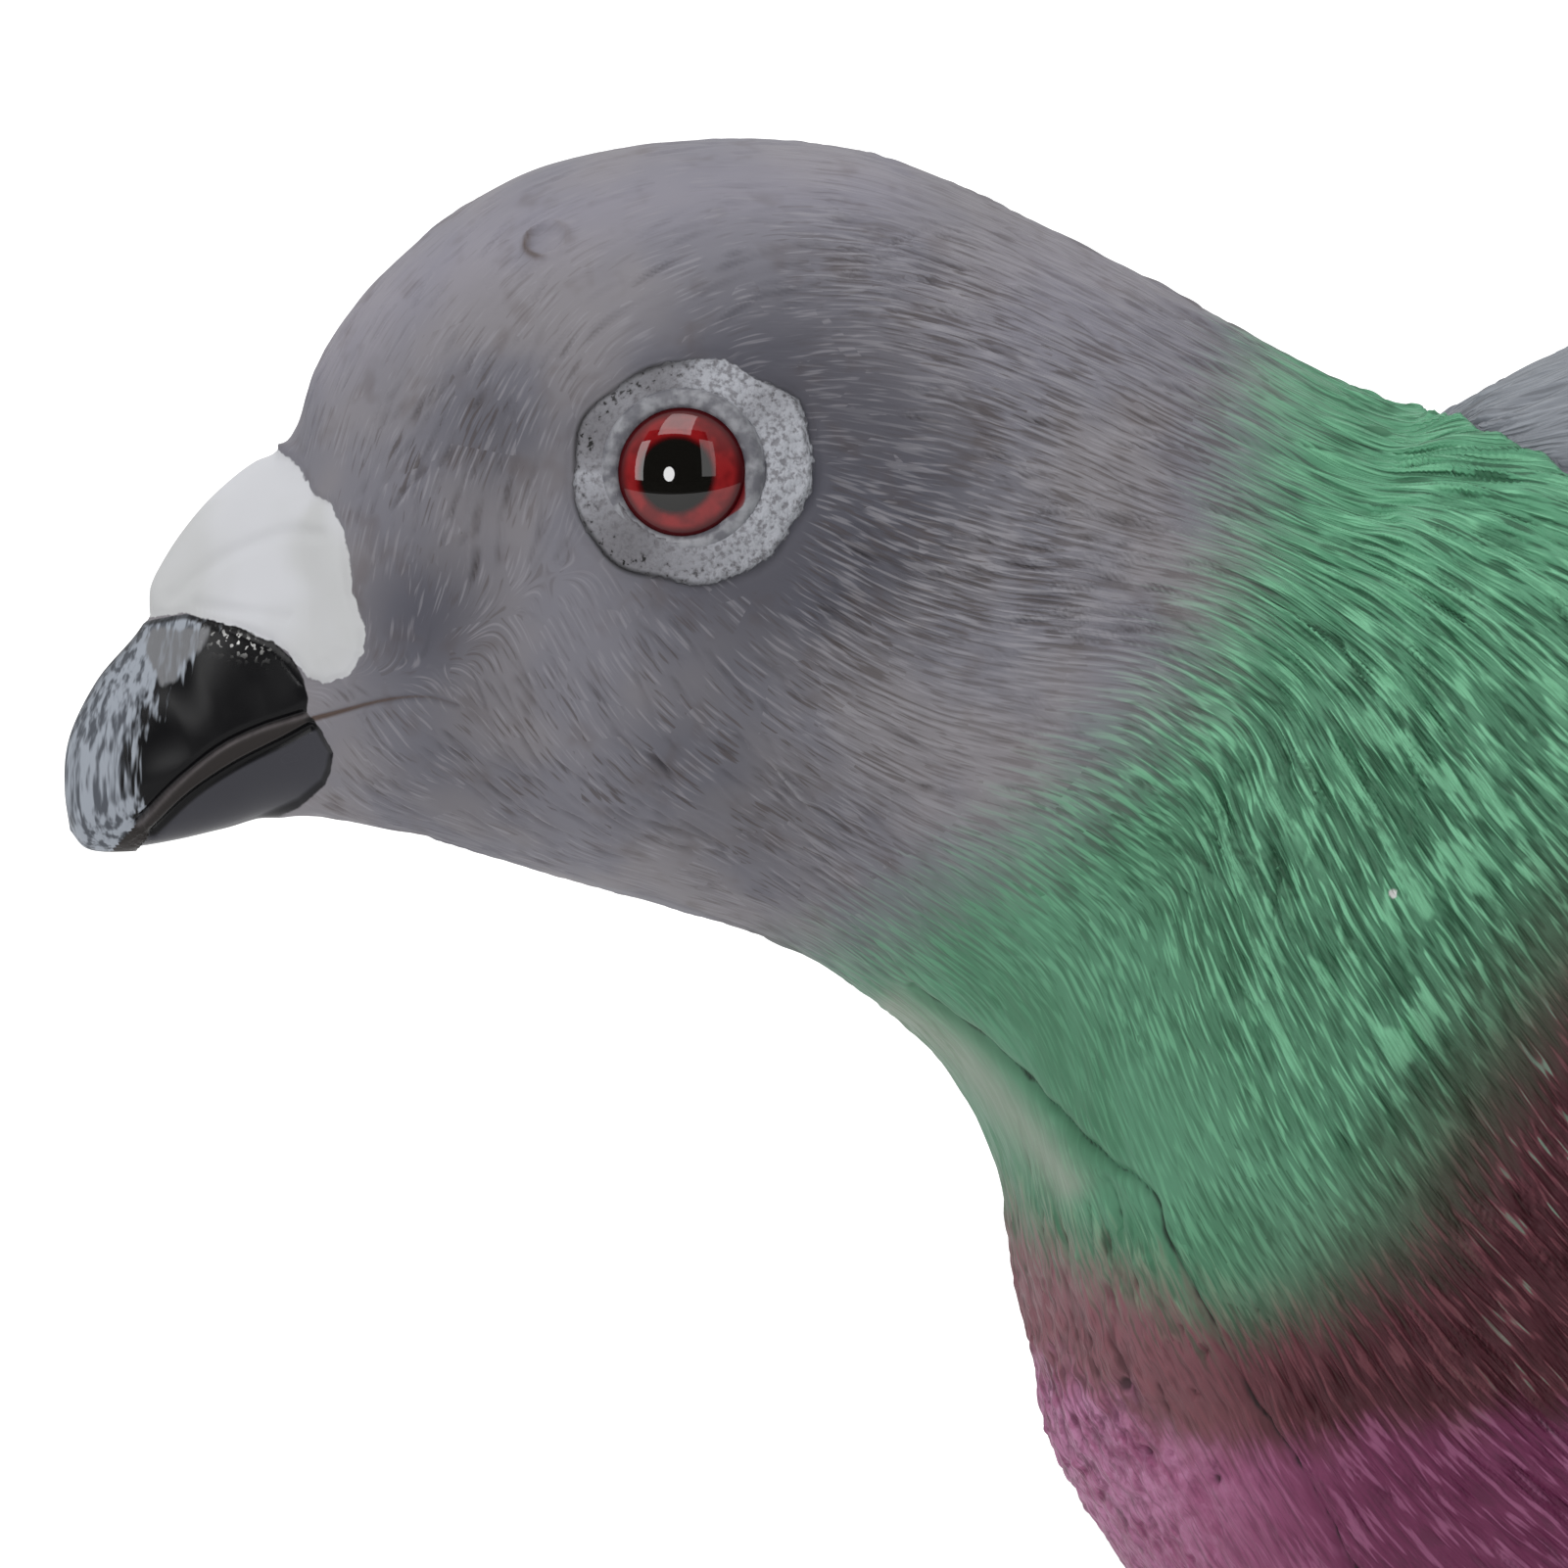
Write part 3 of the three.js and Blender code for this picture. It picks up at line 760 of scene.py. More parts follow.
def carvePlumage():
    # all strokes and strands together: the height that they add to the skin, and how strongly the paint is
    # darkened in their grooves and lightened on their ridges, partly as painted shade and painted highlight
    cutScale, hairScale = 0.4 + 0.6 * cutShare, 0.35 + 0.65 * raisedShare
    strokes = carveStrokes(cuts, cutShare * plumageMask * strokeFade)
    cutGrooves, cutRidges, cutHeight = strokeRelief(cuts, *strokes, cutScale)
    strokes = carveStrokes(hairs, raisedShare * plumageMask * strokeFade)
    hairGrooves, hairRidges, hairHeight = strokeRelief(hairs, *strokes, hairScale)
    strokes = carveStrokes(locks, 0.3 + 0.7 * raisedShare)
    lockHeight = strokeRelief(locks, *strokes, raisedShare)[2]
    clumpHeight, clump = strandNoise("clumps")
    ridgeHeight, strand = strandNoise("ridges")
    ridgeHeight = ridgeHeight * (0.25 + 0.75 * tuftShare) * flowShare * raisedShare
    tuftRidges, tuftGrooves = ease(strand, 0, 0.5) * tuftShare, ease(-strand, 0.05, 0.5) * tuftShare
    frontShare = ease(-x, 27, 31) * bump(z - 23, 9)
    height = cutHeight + hairHeight + lockHeight + clumpHeight * clump * tuftShare
    height += ridgeHeight * (ease(strand, -0.1, 0.5) - ease(-strand, 0, 0.5)) + 0.16 * strand * frontShare
    shade = cutGrooves + 0.45 * hairGrooves + 0.5 * tuftGrooves
    # painted shade in the front's strand grooves and in the hollows between the breast's lumps
    shade += 0.7 * ease(-strand, 0.1, 0.6) * frontShare + 0.5 * ease(-breastLumps, 0.05, 0.4) * lumpShare
    light = hairRidges + 0.3 * cutRidges + 0.5 * tuftRidges
    # painted highlight on the tops of the breast's lumps, and on the ridges low on the neck's side
    light += 1.1 * ease(breastLumps, 0, 0.35) * lumpShare
    light += 0.8 * patch(-11, 43, 15, 0.8) * tuftRidges
    return height * plumageMask, shade * plumageMask, light * plumageMask


plumageHeight, shadeField, lightField = carvePlumage()
print("plumage carved")


# The bare ring is pebbled, with deeper holes near its edge on the bill's side
pebbles = layeredNoise((1, 0.62, 44), (0.6, 0.38, 45))
inPebbles = ease(ringDistance, 4.5, 4.9) * ease(-ringEdge, 0, 0.3)
# angle round the ring, half width and strength of its darker parts: partly pits and grey paint over it,
# partly painted shade where the brow overhangs it
ringDarkAndShadeParts = [(-2.3, 0.8, 1), (2.75, 0.6, 1), (1.9, 0.35, 0.8), (0.75, 0.25, 0.45), (-1.2, 0.6, 0.25)]
ringDarkAndShade = sum(strength * bump(ringAngle - angle, width) for angle, width, strength in ringDarkAndShadeParts)
ringDarkAndShade = np.where(ringDistance < 12, ringDarkAndShade, 0)


reliefHeights = {"uneven": 0.05, "pits": 0.7, "lumps": 0.17, "pebbles": 0.1}


def carveSkin():
    # the plain skin moved out along its own normals by all heights together, but not at the underside
    height = ringRelief(broadForms()) + plumageHeight
    height += reliefHeights["uneven"] * softNoise(plain, 1.6, 41) * plumageMask
    height -= reliefHeights["pits"] * breastPit
    height += reliefHeights["lumps"] * breastLumps * lumpShare
    height += reliefHeights["pebbles"] * pebbles * inPebbles
    height *= ease(z, 0, 2.5)
    return plain + plainNormal * height[..., None]


# Where the slate is darkest: round the eye, and in spots of x, z, size and strength before and below it.
# This is partly darker paint and partly painted shade in the hollow behind the eye, under the brow, in the
# dent before the eye and on the lower cheek and chin.
slateSpots = [
    (-68.5, 60, 4.5, 1), (-67, 51, 5, 0.5), (-48.6, 48.5, 6, 0.5), (-64.5, 70, 4, 0.8), (-54, 53.5, 4.5, 0.5),
]
eyeDarkPaintAndShade = ease(np.hypot(x + 48, z - 67.5), 14.5, 6)
eyeDarkPaintAndShade = eyeDarkPaintAndShade + sum(strength * patch(*spot) for *spot, strength in slateSpots)
eyeDarkPaintAndShade = np.clip(eyeDarkPaintAndShade, 0, 1)

skin = carveSkin()
skinNormal = unit(np.cross(*steps(skin)[::-1]))
paintMaps = {
    "lay": lay,
    "across": sideways,
    "along_lay": alongLay,
    "across_lay": acrossLay,
    "flow_share": flowShare,
    "tuft_share": tuftShare,
    "cut_share": cutShare * plumageMask,
    "raised_share": raisedShare * plumageMask,
    # the grooves' dark wash and the ridges' dry brush, both partly painted shade and painted highlight
    "groove": np.minimum(shadeField, 2),
    "ridge": np.minimum(lightField, 2),
    "cere_edge": np.clip(cereEdge, -9, 9),
    "bill_edge": np.clip(billEdge, -9, 9),
    "frost_edge": np.clip(frostEdge, -9, 9),
    # edge of the painted reflection on the bill
    "bill_reflection_edge": np.clip(billReflectionEdge, -9, 9),
    "bill_ridge": bump(plain[..., 1], 0.8) * ease(z, 52, 56),
    "speck_patch": bump(x + 79.2, 1.4) * bump(z - 58.6 + 0.25 * (x + 79.2), 0.55),
    "ring_edge": np.clip(ringEdge, -9, 9),
    # the ring's darker parts, partly pits and grey paint and partly painted shade
    "ring_dark_and_shade": ringDarkAndShade,
    "green_edge": greenEdge,
    "wine_edge": wineEdge,
    "magenta_edge": magentaEdge,
    "mantle_edge": mantleEdge,
    "mouth_side": mouthLower,
    # a painted highlight along the upper edge of the mouth's groove
    "mouth_highlight": bump(mouthUpper + 0.2, 0.14),
    "mouth_ridge": np.clip(mouthRidge, -9, 9),
    "mouth_line": np.clip(mouthLine, 0, 9),
    "gape_line": np.clip(gape + 0.02 * (x + 75), 0, 9),
    "crease_line": np.clip(throatCrease, 0, 9),
    "bubble_mark": bubbleMark,
    "speck_mark": speckMark,
    "pit_mark": np.clip(breastPit, 0, 1),
    # a lighter band along the crown and a spot on the nape, partly lighter paint and partly painted highlight
    "crown_band_and_highlight": bump(carvedDistance("crownBand"), 2.6) + 0.9 * patch(-33, 78, 5, 1.6),
    # a pale strip along the throat's front, partly paint and partly painted highlight
    "throat_strip_and_highlight": bump(carvedDistance("throatStrip"), 1.05),
    # a painted sheen high on the neck's side, and painted shade lower down on it
    "green_sheen": patch(-12, 66, 11, 1.3),
    "green_low_shade": patch(-14, 44, 13, 1.3),
    "green_brush": ease(x, -13, -6) * ease(z, 13, 21) * ease(wineEdge, -3, 0) * ease(-x, -1, 6),
    # painted rim light: the breast's front made paler where light from the left falls
    "front_rim_light": ease(-x, 20, 34) * ease(z, 42, 30),
    "deep_side": ease(x, -27, -15),
    # painted top light: lighter where the skin faces up, ahead of the mantle
    "painted_top_light": ease(plainNormal[..., 2], 0.15, 0.75) * ease(x, -2, -12),
    # darker slate round the eye, partly paint and partly painted shade
    "eye_dark_paint_and_shade": eyeDarkPaintAndShade,
}


def addObject(name, data):
    thing = bpy.data.objects.new(name, data)
    bpy.context.scene.collection.objects.link(thing)
    return thing


def makeMesh(name, vertices, faceSizes, corners, cornerNormals):
    # a mesh from arrays: millimetre vertices, corners per face, vertex of each corner and its normal
    mesh = bpy.data.meshes.new(name)
    mesh.vertices.add(len(vertices))
    mesh.vertices.foreach_set("co", (vertices * millimetre).astype(np.float32).ravel())
    mesh.loops.add(len(corners))
    mesh.loops.foreach_set("vertex_index", corners.astype(np.int32))
    mesh.polygons.add(len(faceSizes))
    starts = np.concatenate([[0], np.cumsum(faceSizes)[:-1]])
    mesh.polygons.foreach_set("loop_start", starts.astype(np.int32))
    mesh.polygons.foreach_set("use_smooth", np.ones(len(faceSizes), bool))
    mesh.update(calc_edges=True)
    mesh.validate()
    if cornerNormals is not None:
        mesh.normals_split_custom_set(cornerNormals.astype(np.float32))
    return addObject(name, mesh)


def makeQuadMesh(name, vertices, quads):
    return makeMesh(name, vertices, np.full(len(quads), 4), quads.ravel(), None)


def bandQuads(here, there, ring, nextOne):
    # quads between rows of vertices: the first vertex of each row and of the next one, and their columns
    return np.stack([here + ring, here + nextOne, there + nextOne, there + ring], axis=-1).reshape(-1, 4)


def addPaintMap(piece, name, values):
    # a number or a direction for each vertex
    isVector = values.ndim > 1
    attribute = piece.data.attributes.new(name, "FLOAT_VECTOR" if isVector else "FLOAT", "POINT")
    attribute.data.foreach_set("vector" if isVector else "value", values.astype(np.float32).ravel())


def makeSkinPiece(name, first, last):
    # rows first to last of the skin as a closed piece: quads between the rows, and at each end a fan to the
    # bill tip or to the middle of the flat cut that it shares with its neighbour
    rows, columns = last - first + 1, skinForm["columns"]
    ring = np.arange(columns)
    nextOne = (ring + 1) % columns
    vertices = skin[first : last + 1].reshape(-1, 3)
    front = tip if first == 0 else skin[first].mean(axis=0)
    back = skin[last].mean(axis=0)
    vertices = np.vstack([vertices, front, back])
    frontPole, backPole = rows * columns, rows * columns + 1
    base = (np.arange(rows - 1) * columns)[:, None]
    quads = bandQuads(base, base + columns, ring, nextOne)
    lastRow = (rows - 1) * columns
    frontFan = np.stack([np.full(columns, frontPole), nextOne, ring], axis=-1)
    backFan = np.stack([np.full(columns, backPole), lastRow + ring, lastRow + nextOne], axis=-1)
    corners = np.concatenate([quads.ravel(), frontFan.ravel(), backFan.ravel()])
    sizes = np.concatenate([np.full(len(quads), 4), np.full(2 * columns, 3)])
    normals = skinNormal[first : last + 1].reshape(-1, 3)
    tipNormal = unit(tip - skin[0].mean(axis=0) + np.array([-1e-6, 0, 0]))
    frontNormals = np.repeat([unit(front - skin[first + 1].mean(axis=0))], 3 * columns, axis=0)
    if first == 0:
        frontNormals = normals[frontFan.ravel() % frontPole]
        frontNormals[::3] = tipNormal
    backNormals = np.repeat([unit(back - skin[last - 1].mean(axis=0))], 3 * columns, axis=0)
    if last == len(skin) - 1:
        backNormals[:] = (0, 0, -1)
    cornerNormals = np.concatenate([normals[quads.ravel()], frontNormals, backNormals])
    piece = makeMesh(name, vertices, sizes, corners, cornerNormals)
    for mapName, values in paintMaps.items():
        own = values[first : last + 1]
        poles = [own[0].mean(axis=0), own[-1].mean(axis=0)]
        addPaintMap(piece, mapName, np.concatenate([own.reshape(-1, *values.shape[2:]), poles]))
    return piece


skinPieces = []
firstRow = 0
for (pieceName, *_), lastRow in zip(skinForm["pieces"], pieceEnds):
    skinPieces.append(makeSkinPiece(pieceName, firstRow, lastRow))
    firstRow = lastRow
print("skin pieces made:", [(p.name, 2 * len(p.data.polygons)) for p in skinPieces])


def turnedSurface(profile, turns, side, closed):
    # A profile of (radius, height) carried round the eye's axis. Closed joins its end to its start, as for a
    # ring; if not, it starts and ends on the axis. Gives vertices, quads, and each vertex's radius.
    seat, facing, rearward, upward = eyePlace(side)
    radius, height = np.array(profile, float).T
    angle = np.arange(turns) * 2 * math.pi / turns
    outward = np.cos(angle)[:, None] * rearward + np.sin(angle)[:, None] * upward
    vertices = seat + radius[:, None, None] * outward + height[:, None, None] * facing
    rows = len(profile)
    span = np.arange(rows if closed else rows - 1)
    here, there = (span * turns)[:, None], ((span + 1) % rows * turns)[:, None]
    ring = np.arange(turns)
    nextOne = (ring + 1) % turns
    quads = bandQuads(here, there, ring, nextOne)
    return vertices.reshape(-1, 3), quads, np.repeat(radius, turns)


def makeEye(name, side):
    # a drum with a domed front: its profile is a quarter ellipse from the middle of the dome to the rim, then
    # straight back and in again; the middle points are merged into one at each end
    quarter = np.linspace(0, math.pi / 2, eyeForm["domePoints"])
    radius = (eyeForm["radius"] + eyeForm["skirt"]) * np.sin(quarter)
    height = eyeForm["rim"] + (eyeForm["dome"] - eyeForm["rim"]) * np.cos(quarter)
    profile = list(zip(radius, height)) + [(eyeForm["radius"], -eyeForm["depth"]), (0, -eyeForm["depth"])]
    vertices, quads, radii = turnedSurface(profile, eyeForm["turns"], side, False)
    piece = makeQuadMesh(name, vertices, quads)
    seat, _, rearward, upward = eyePlace(side)
    pupil = seat + eyeForm["pupilShift"][0] * rearward + eyeForm["pupilShift"][1] * upward
    addPaintMap(piece, "from_rim", radii)
    addPaintMap(piece, "from_pupil", np.hypot(dot(vertices - pupil, rearward), dot(vertices - pupil, upward)))
    closePoles(piece)
    return piece


def closePoles(piece):
    # merges the doubled vertices on the axis and turns all faces outwards
    form = bmesh.new()
    form.from_mesh(piece.data)
    bmesh.ops.remove_doubles(form, verts=form.verts, dist=1e-7)
    bmesh.ops.recalc_face_normals(form, faces=form.faces)
    form.to_mesh(piece.data)
    form.free()


def makeLid(name, side):
    # the smooth rim of the bare ring: an ellipse carried round the eye
    turns, points = lidForm["turns"], lidForm["points"]
    angle = np.arange(points) * 2 * math.pi / points
    radius = lidForm["radius"] + lidForm["halfWidth"] * np.cos(angle)
    height = lidForm["level"] + lidForm["halfHeight"] * np.sin(angle)
    vertices, quads, radii = turnedSurface(list(zip(radius, height)), turns, side, True)
    piece = makeQuadMesh(name, vertices, quads)
    around = np.tile(np.arange(turns) * 2 * math.pi / turns, points)
    cornerAngle, cornerWidth = lidForm["corner"]
    addPaintMap(piece, "from_rim", radii)
    addPaintMap(piece, "eye_corner", bump(around - math.radians(cornerAngle), cornerWidth))
    closePoles(piece)
    return piece


leftEye, rightEye = makeEye("left_eyeball", -1), makeEye("right_eyeball", 1)
leftLid, rightLid = makeLid("left_lid", -1), makeLid("right_lid", 1)
print("eyes made")


def linear(red, green, blue):
    # a colour given as screen values from 0 to 255, as linear light
    values = [v / 255 for v in (red, green, blue)]
    values = [v / 12.92 if v <= 0.04045 else ((v + 0.055) / 1.055) ** 2.4 for v in values]
    return (*values, 1)


def setSockets(node, values):
    # links each socket that is given, and sets each plain value
    for name, value in values.items():
        if isinstance(value, bpy.types.NodeSocket):
            node.id_data.links.new(value, node.inputs[name])
        else:
            node.inputs[name].default_value = value


def addNode(tree, kind, inputs=None, **settings):
    node = tree.nodes.new(kind)
    for name, value in settings.items():
        setattr(node, name, value)
    setSockets(node, inputs or {})
    return node


def joinNode(kind, inputs, **settings):
    # a node in the tree of the sockets that it takes
    tree = next(value.id_data for value in inputs.values() if isinstance(value, bpy.types.NodeSocket))
    return addNode(tree, kind, inputs, **settings)


def readMap(tree, name):
    return addNode(tree, "ShaderNodeAttribute", attribute_name=name).outputs["Fac"]


def between(value, low, high):
    # 0 at the low value, 1 at the high one, and smooth between them; low may lie above high
    inputs = {0: value, 1: low, 2: high}
    return joinNode("ShaderNodeMapRange", inputs, interpolation_type="SMOOTHSTEP").outputs["Result"]


def combine(operation, *values):
    return joinNode("ShaderNodeMath", dict(enumerate(values)), operation=operation).outputs[0]


def times(*values):
    product = values[0]
    for value in values[1:]:
        product = combine("MULTIPLY", product, value)
    return product


def nearLine(distance, width):
    # 1 where the distance is 0, and 0 beyond the width on both sides
    return between(combine("ABSOLUTE", distance), width, 0.0)


def mixColour(share, under, over):
    return joinNode("ShaderNodeMix", {0: share, 6: under, 7: over}, data_type="RGBA").outputs[2]


def noise(place, size, detail=2.0, rough=0.5):
    # noise whose features are about size millimetres wide
    inputs = {"Vector": place, "Scale": 1 / (size * millimetre), "Detail": detail, "Roughness": rough}
    return joinNode("ShaderNodeTexNoise", inputs).outputs["Fac"]


def relief(height, distance):
    inputs = {"Height": height, "Distance": distance, "Strength": 1.0}
    return joinNode("ShaderNodeBump", inputs).outputs["Normal"]


def newGroup(name, inputs, output, kind="Float"):
    # a node group with a socket for each given value, a colour's where the value has parts
    tree = bpy.data.node_groups.new(name, "ShaderNodeTree")
    for socketName, value in inputs.items():
        socketKind = "NodeSocketColor" if isinstance(value, tuple) else "NodeSocketFloat"
        socket = tree.interface.new_socket(socketName, in_out="INPUT", socket_type=socketKind)
        socket.default_value = value
    tree.interface.new_socket(output, in_out="OUTPUT", socket_type="NodeSocket" + kind)
    return tree, tree.nodes.new("NodeGroupInput").outputs, tree.nodes.new("NodeGroupOutput").inputs[0]


def useGroup(tree, group, inputs):
    return addNode(tree, "ShaderNodeGroup", inputs, node_tree=group).outputs[0]


def makePaintEdgeGroup():
    # where one paint ends: a mask from the distance to the border, which a noise from 0 to 1 makes wander
    sockets = {"Distance": 0.0, "Noise": 0.5, "Wander": 0.3, "Softness": 0.1}
    tree, given, result = newGroup("paint edge", sockets, "Mask")
    shift = combine("MULTIPLY", combine("SUBTRACT", given["Noise"], 0.5), given["Wander"])
    moved = combine("ADD", given["Distance"], shift)
    low, high = (combine("MULTIPLY", given["Softness"], half) for half in (-0.5, 0.5))
    tree.links.new(between(moved, low, high), result)
    return tree


def strandNoiseNode(stretched, squeezed, layer, fade):
    # noise at a stretched and squeezed place, faded to its middle value
    spot = joinNode("ShaderNodeCombineXYZ", {"X": stretched, "Y": squeezed, "Z": layer}).outputs[0]
    value = joinNode("ShaderNodeTexNoise", {"Vector": spot, "Scale": 1.0, "Detail": 1.0}).outputs["Fac"]
    return combine("ADD", times(combine("SUBTRACT", value, 0.5), fade), 0.5)


def makeStrandGroup():
    # Fine strands along the lay. In each cell round a random point, a noise is stretched along the lay and
    # squeezed across it, and fades to its middle value towards both ends of the cell, on some strands sooner.
    sockets = {"Cell": 3.0, "Length": 3.0, "Width": 0.35, "Shift": 0.0}
    tree, given, result = newGroup("strands", sockets, "Strand")
    place = addNode(tree, "ShaderNodeTexCoord").outputs["Object"]
    place = joinNode("ShaderNodeVectorMath", {0: place, 3: 1 / millimetre}, operation="SCALE").outputs[0]
    place = joinNode("ShaderNodeVectorMath", {0: place, 1: given["Shift"]}, operation="ADD").outputs[0]
    scale = combine("DIVIDE", 1.0, given["Cell"])
    cells = joinNode("ShaderNodeTexVoronoi", {"Vector": place, "Scale": scale})
    ends = {0: place, 1: cells.outputs["Position"]}
    offset = joinNode("ShaderNodeVectorMath", ends, operation="SUBTRACT").outputs[0]
    parts = []
    for name in ("lay", "across"):
        way = addNode(tree, "ShaderNodeAttribute", attribute_name=name).outputs["Vector"]
        part = joinNode("ShaderNodeVectorMath", {0: offset, 1: way}, operation="DOT_PRODUCT")
        parts.append(part.outputs["Value"])
    onLay, onSide = parts
    stretched = combine("DIVIDE", onLay, given["Length"])
    squeezed = combine("DIVIDE", onSide, given["Width"])
    own = joinNode("ShaderNodeSeparateColor", {"Color": cells.outputs["Color"]}).outputs[0]
    pattern = times(own, 90.0)
    strandNumber = combine("ADD", combine("FLOOR", times(squeezed, 1.3)), pattern)
    ragged = joinNode("ShaderNodeTexWhiteNoise", {"W": strandNumber}, noise_dimensions="1D")
    reach = combine("DIVIDE", combine("ABSOLUTE", onLay), given["Cell"])
    fade = between(combine("MULTIPLY_ADD", ragged.outputs["Value"], 0.3, reach), 0.72, 0.32)
    tree.links.new(strandNoiseNode(stretched, squeezed, pattern, fade), result)
    return tree


def makeFlowStrandGroup():
    # Strands behind the eye: noise on the distances along and across the lay, faded to its middle value
    # before the eye, with another pattern on the right side.
    sockets = {"Length": 3.0, "Width": 0.35, "Shift": 0.0}
    tree, given, result = newGroup("flow strands", sockets, "Strand")
    place = addNode(tree, "ShaderNodeTexCoord").outputs["Object"]
    side = joinNode("ShaderNodeSeparateXYZ", {"Vector": place}).outputs["Y"]
    layer = combine("MULTIPLY_ADD", combine("GREATER_THAN", side, 0.0), 50.0, given["Shift"])
    stretched = combine("DIVIDE", readMap(tree, "along_lay"), given["Length"])
    squeezed = combine("DIVIDE", readMap(tree, "across_lay"), given["Width"])
    fade = readMap(tree, "flow_share")
    tree.links.new(strandNoiseNode(stretched, squeezed, layer, fade), result)
    return tree


def makeWashShadeAndHighlightGroup():
    # carved plumage under thin paint: a dark wash lies in the grooves and a dry brush lightens the ridges,
    # both partly painted shade and highlight
    sockets = {
        "Color": (0.5, 0.5, 0.5, 1),
        "Wash": (0.05, 0.04, 0.04, 1),
        "Light": (0.8, 0.8, 0.8, 1),
        "Groove": 0.0,
        "Ridge": 0.0,
        "Depth": 0.7,
        "Brush": 0.4,
    }
    tree, given, result = newGroup("wash shade and highlight", sockets, "Color", "Color")
    lit = mixColour(times(given["Ridge"], given["Brush"]), given["Color"], given["Light"])
    grooveShare = times(given["Groove"], given["Depth"])
    tree.links.new(mixColour(grooveShare, lit, given["Wash"]), result)
    return tree


paintEdgeGroup = makePaintEdgeGroup()
strandGroup = makeStrandGroup()
flowStrandGroup = makeFlowStrandGroup()
washShadeAndHighlightGroup = makeWashShadeAndHighlightGroup()


def newMaterial(name):
    material = bpy.data.materials.new(name)
    material.use_nodes = True
    return material, material.node_tree, material.node_tree.nodes["Principled BSDF"]


# Each paint's body colour, the wash in its grooves, the dry brush on its ridges, and how strong both are;
# wash and brush are partly painted shade and highlight
paints = {
    "slate": (linear(127, 124, 128), linear(66, 56, 51), linear(166, 164, 169), 0.57, 0.45),
    "mantle": (linear(122, 126, 133), linear(64, 66, 71), linear(159, 164, 172), 0.7, 0.5),
    "green": (linear(82, 129, 103), linear(38, 71, 51), linear(124, 190, 151), 0.9, 0.8),
    "wine": (linear(90, 51, 57), linear(50, 24, 27), linear(123, 73, 81), 0.7, 0.5),
    "magenta": (linear(135, 75, 107), linear(74, 35, 55), linear(165, 106, 140), 0.7, 0.5),
}
tints = {
    "slateCool": linear(106, 107, 118),
    # darker slate, partly paint and partly painted shade
    "slateDarkAndShade": linear(70, 70, 79),
    "slateLight": linear(138, 136, 142),
    # a lighter lilac for the painted top light and the crown's highlight
    "lilacHighlight": linear(148, 145, 157),
    # a painted sheen on the neck's green, and a deeper green used at random and as painted shade
    "greenSheen": linear(98, 161, 126),
    "greenDeepAndShade": linear(53, 98, 71),
    "paleGreen": linear(112, 148, 130),
    "olive": linear(61, 62, 53),
    # painted rim light on the wine and the magenta
    "pinkRimLight": linear(139, 101, 109),
    "throat": linear(146, 149, 139),
    "wineDeep": linear(59, 25, 33),
    "magentaDeep": linear(81, 25, 56),
    "roseRimLight": linear(191, 139, 172),
    "cere": linear(196, 197, 201),
    "cereShade": linear(185, 186, 187),
    "ring": linear(171, 173, 180),
    # dark grey for the ring's pits and for its painted shade
    "ringPitAndShade": linear(97, 95, 99),
    "bill": linear(11, 11, 13),
    # the lower mandible's dark grey, partly paint and partly a painted reflection of the floor
    "mandibleGreyAndReflection": linear(58, 58, 64),
    "frost": linear(147, 153, 162),
    "frostShade": linear(77, 81, 88),
    # grey of the painted reflection on the bill
    "billReflection": linear(112, 113, 116),
    "mouthRidge": linear(40, 36, 35),
    # colour of the painted highlight along the mouth
    "mouthHighlight": linear(92, 87, 88),
    "gape": linear(90, 72, 62),
    "umber": linear(74, 60, 52),
    # painted shade: near black for the throat crease, the burst bubbles and the ring's holes and edge
    "recessShade": linear(26, 26, 25),
    "speck": linear(206, 206, 204),
}

strands = {
    "short": {"Cell": 3.8, "Length": 2.6, "Width": 0.23, "Shift": 0.0},
    "long": {"Length": 3.5, "Width": 0.27, "Shift": 3.0},
}


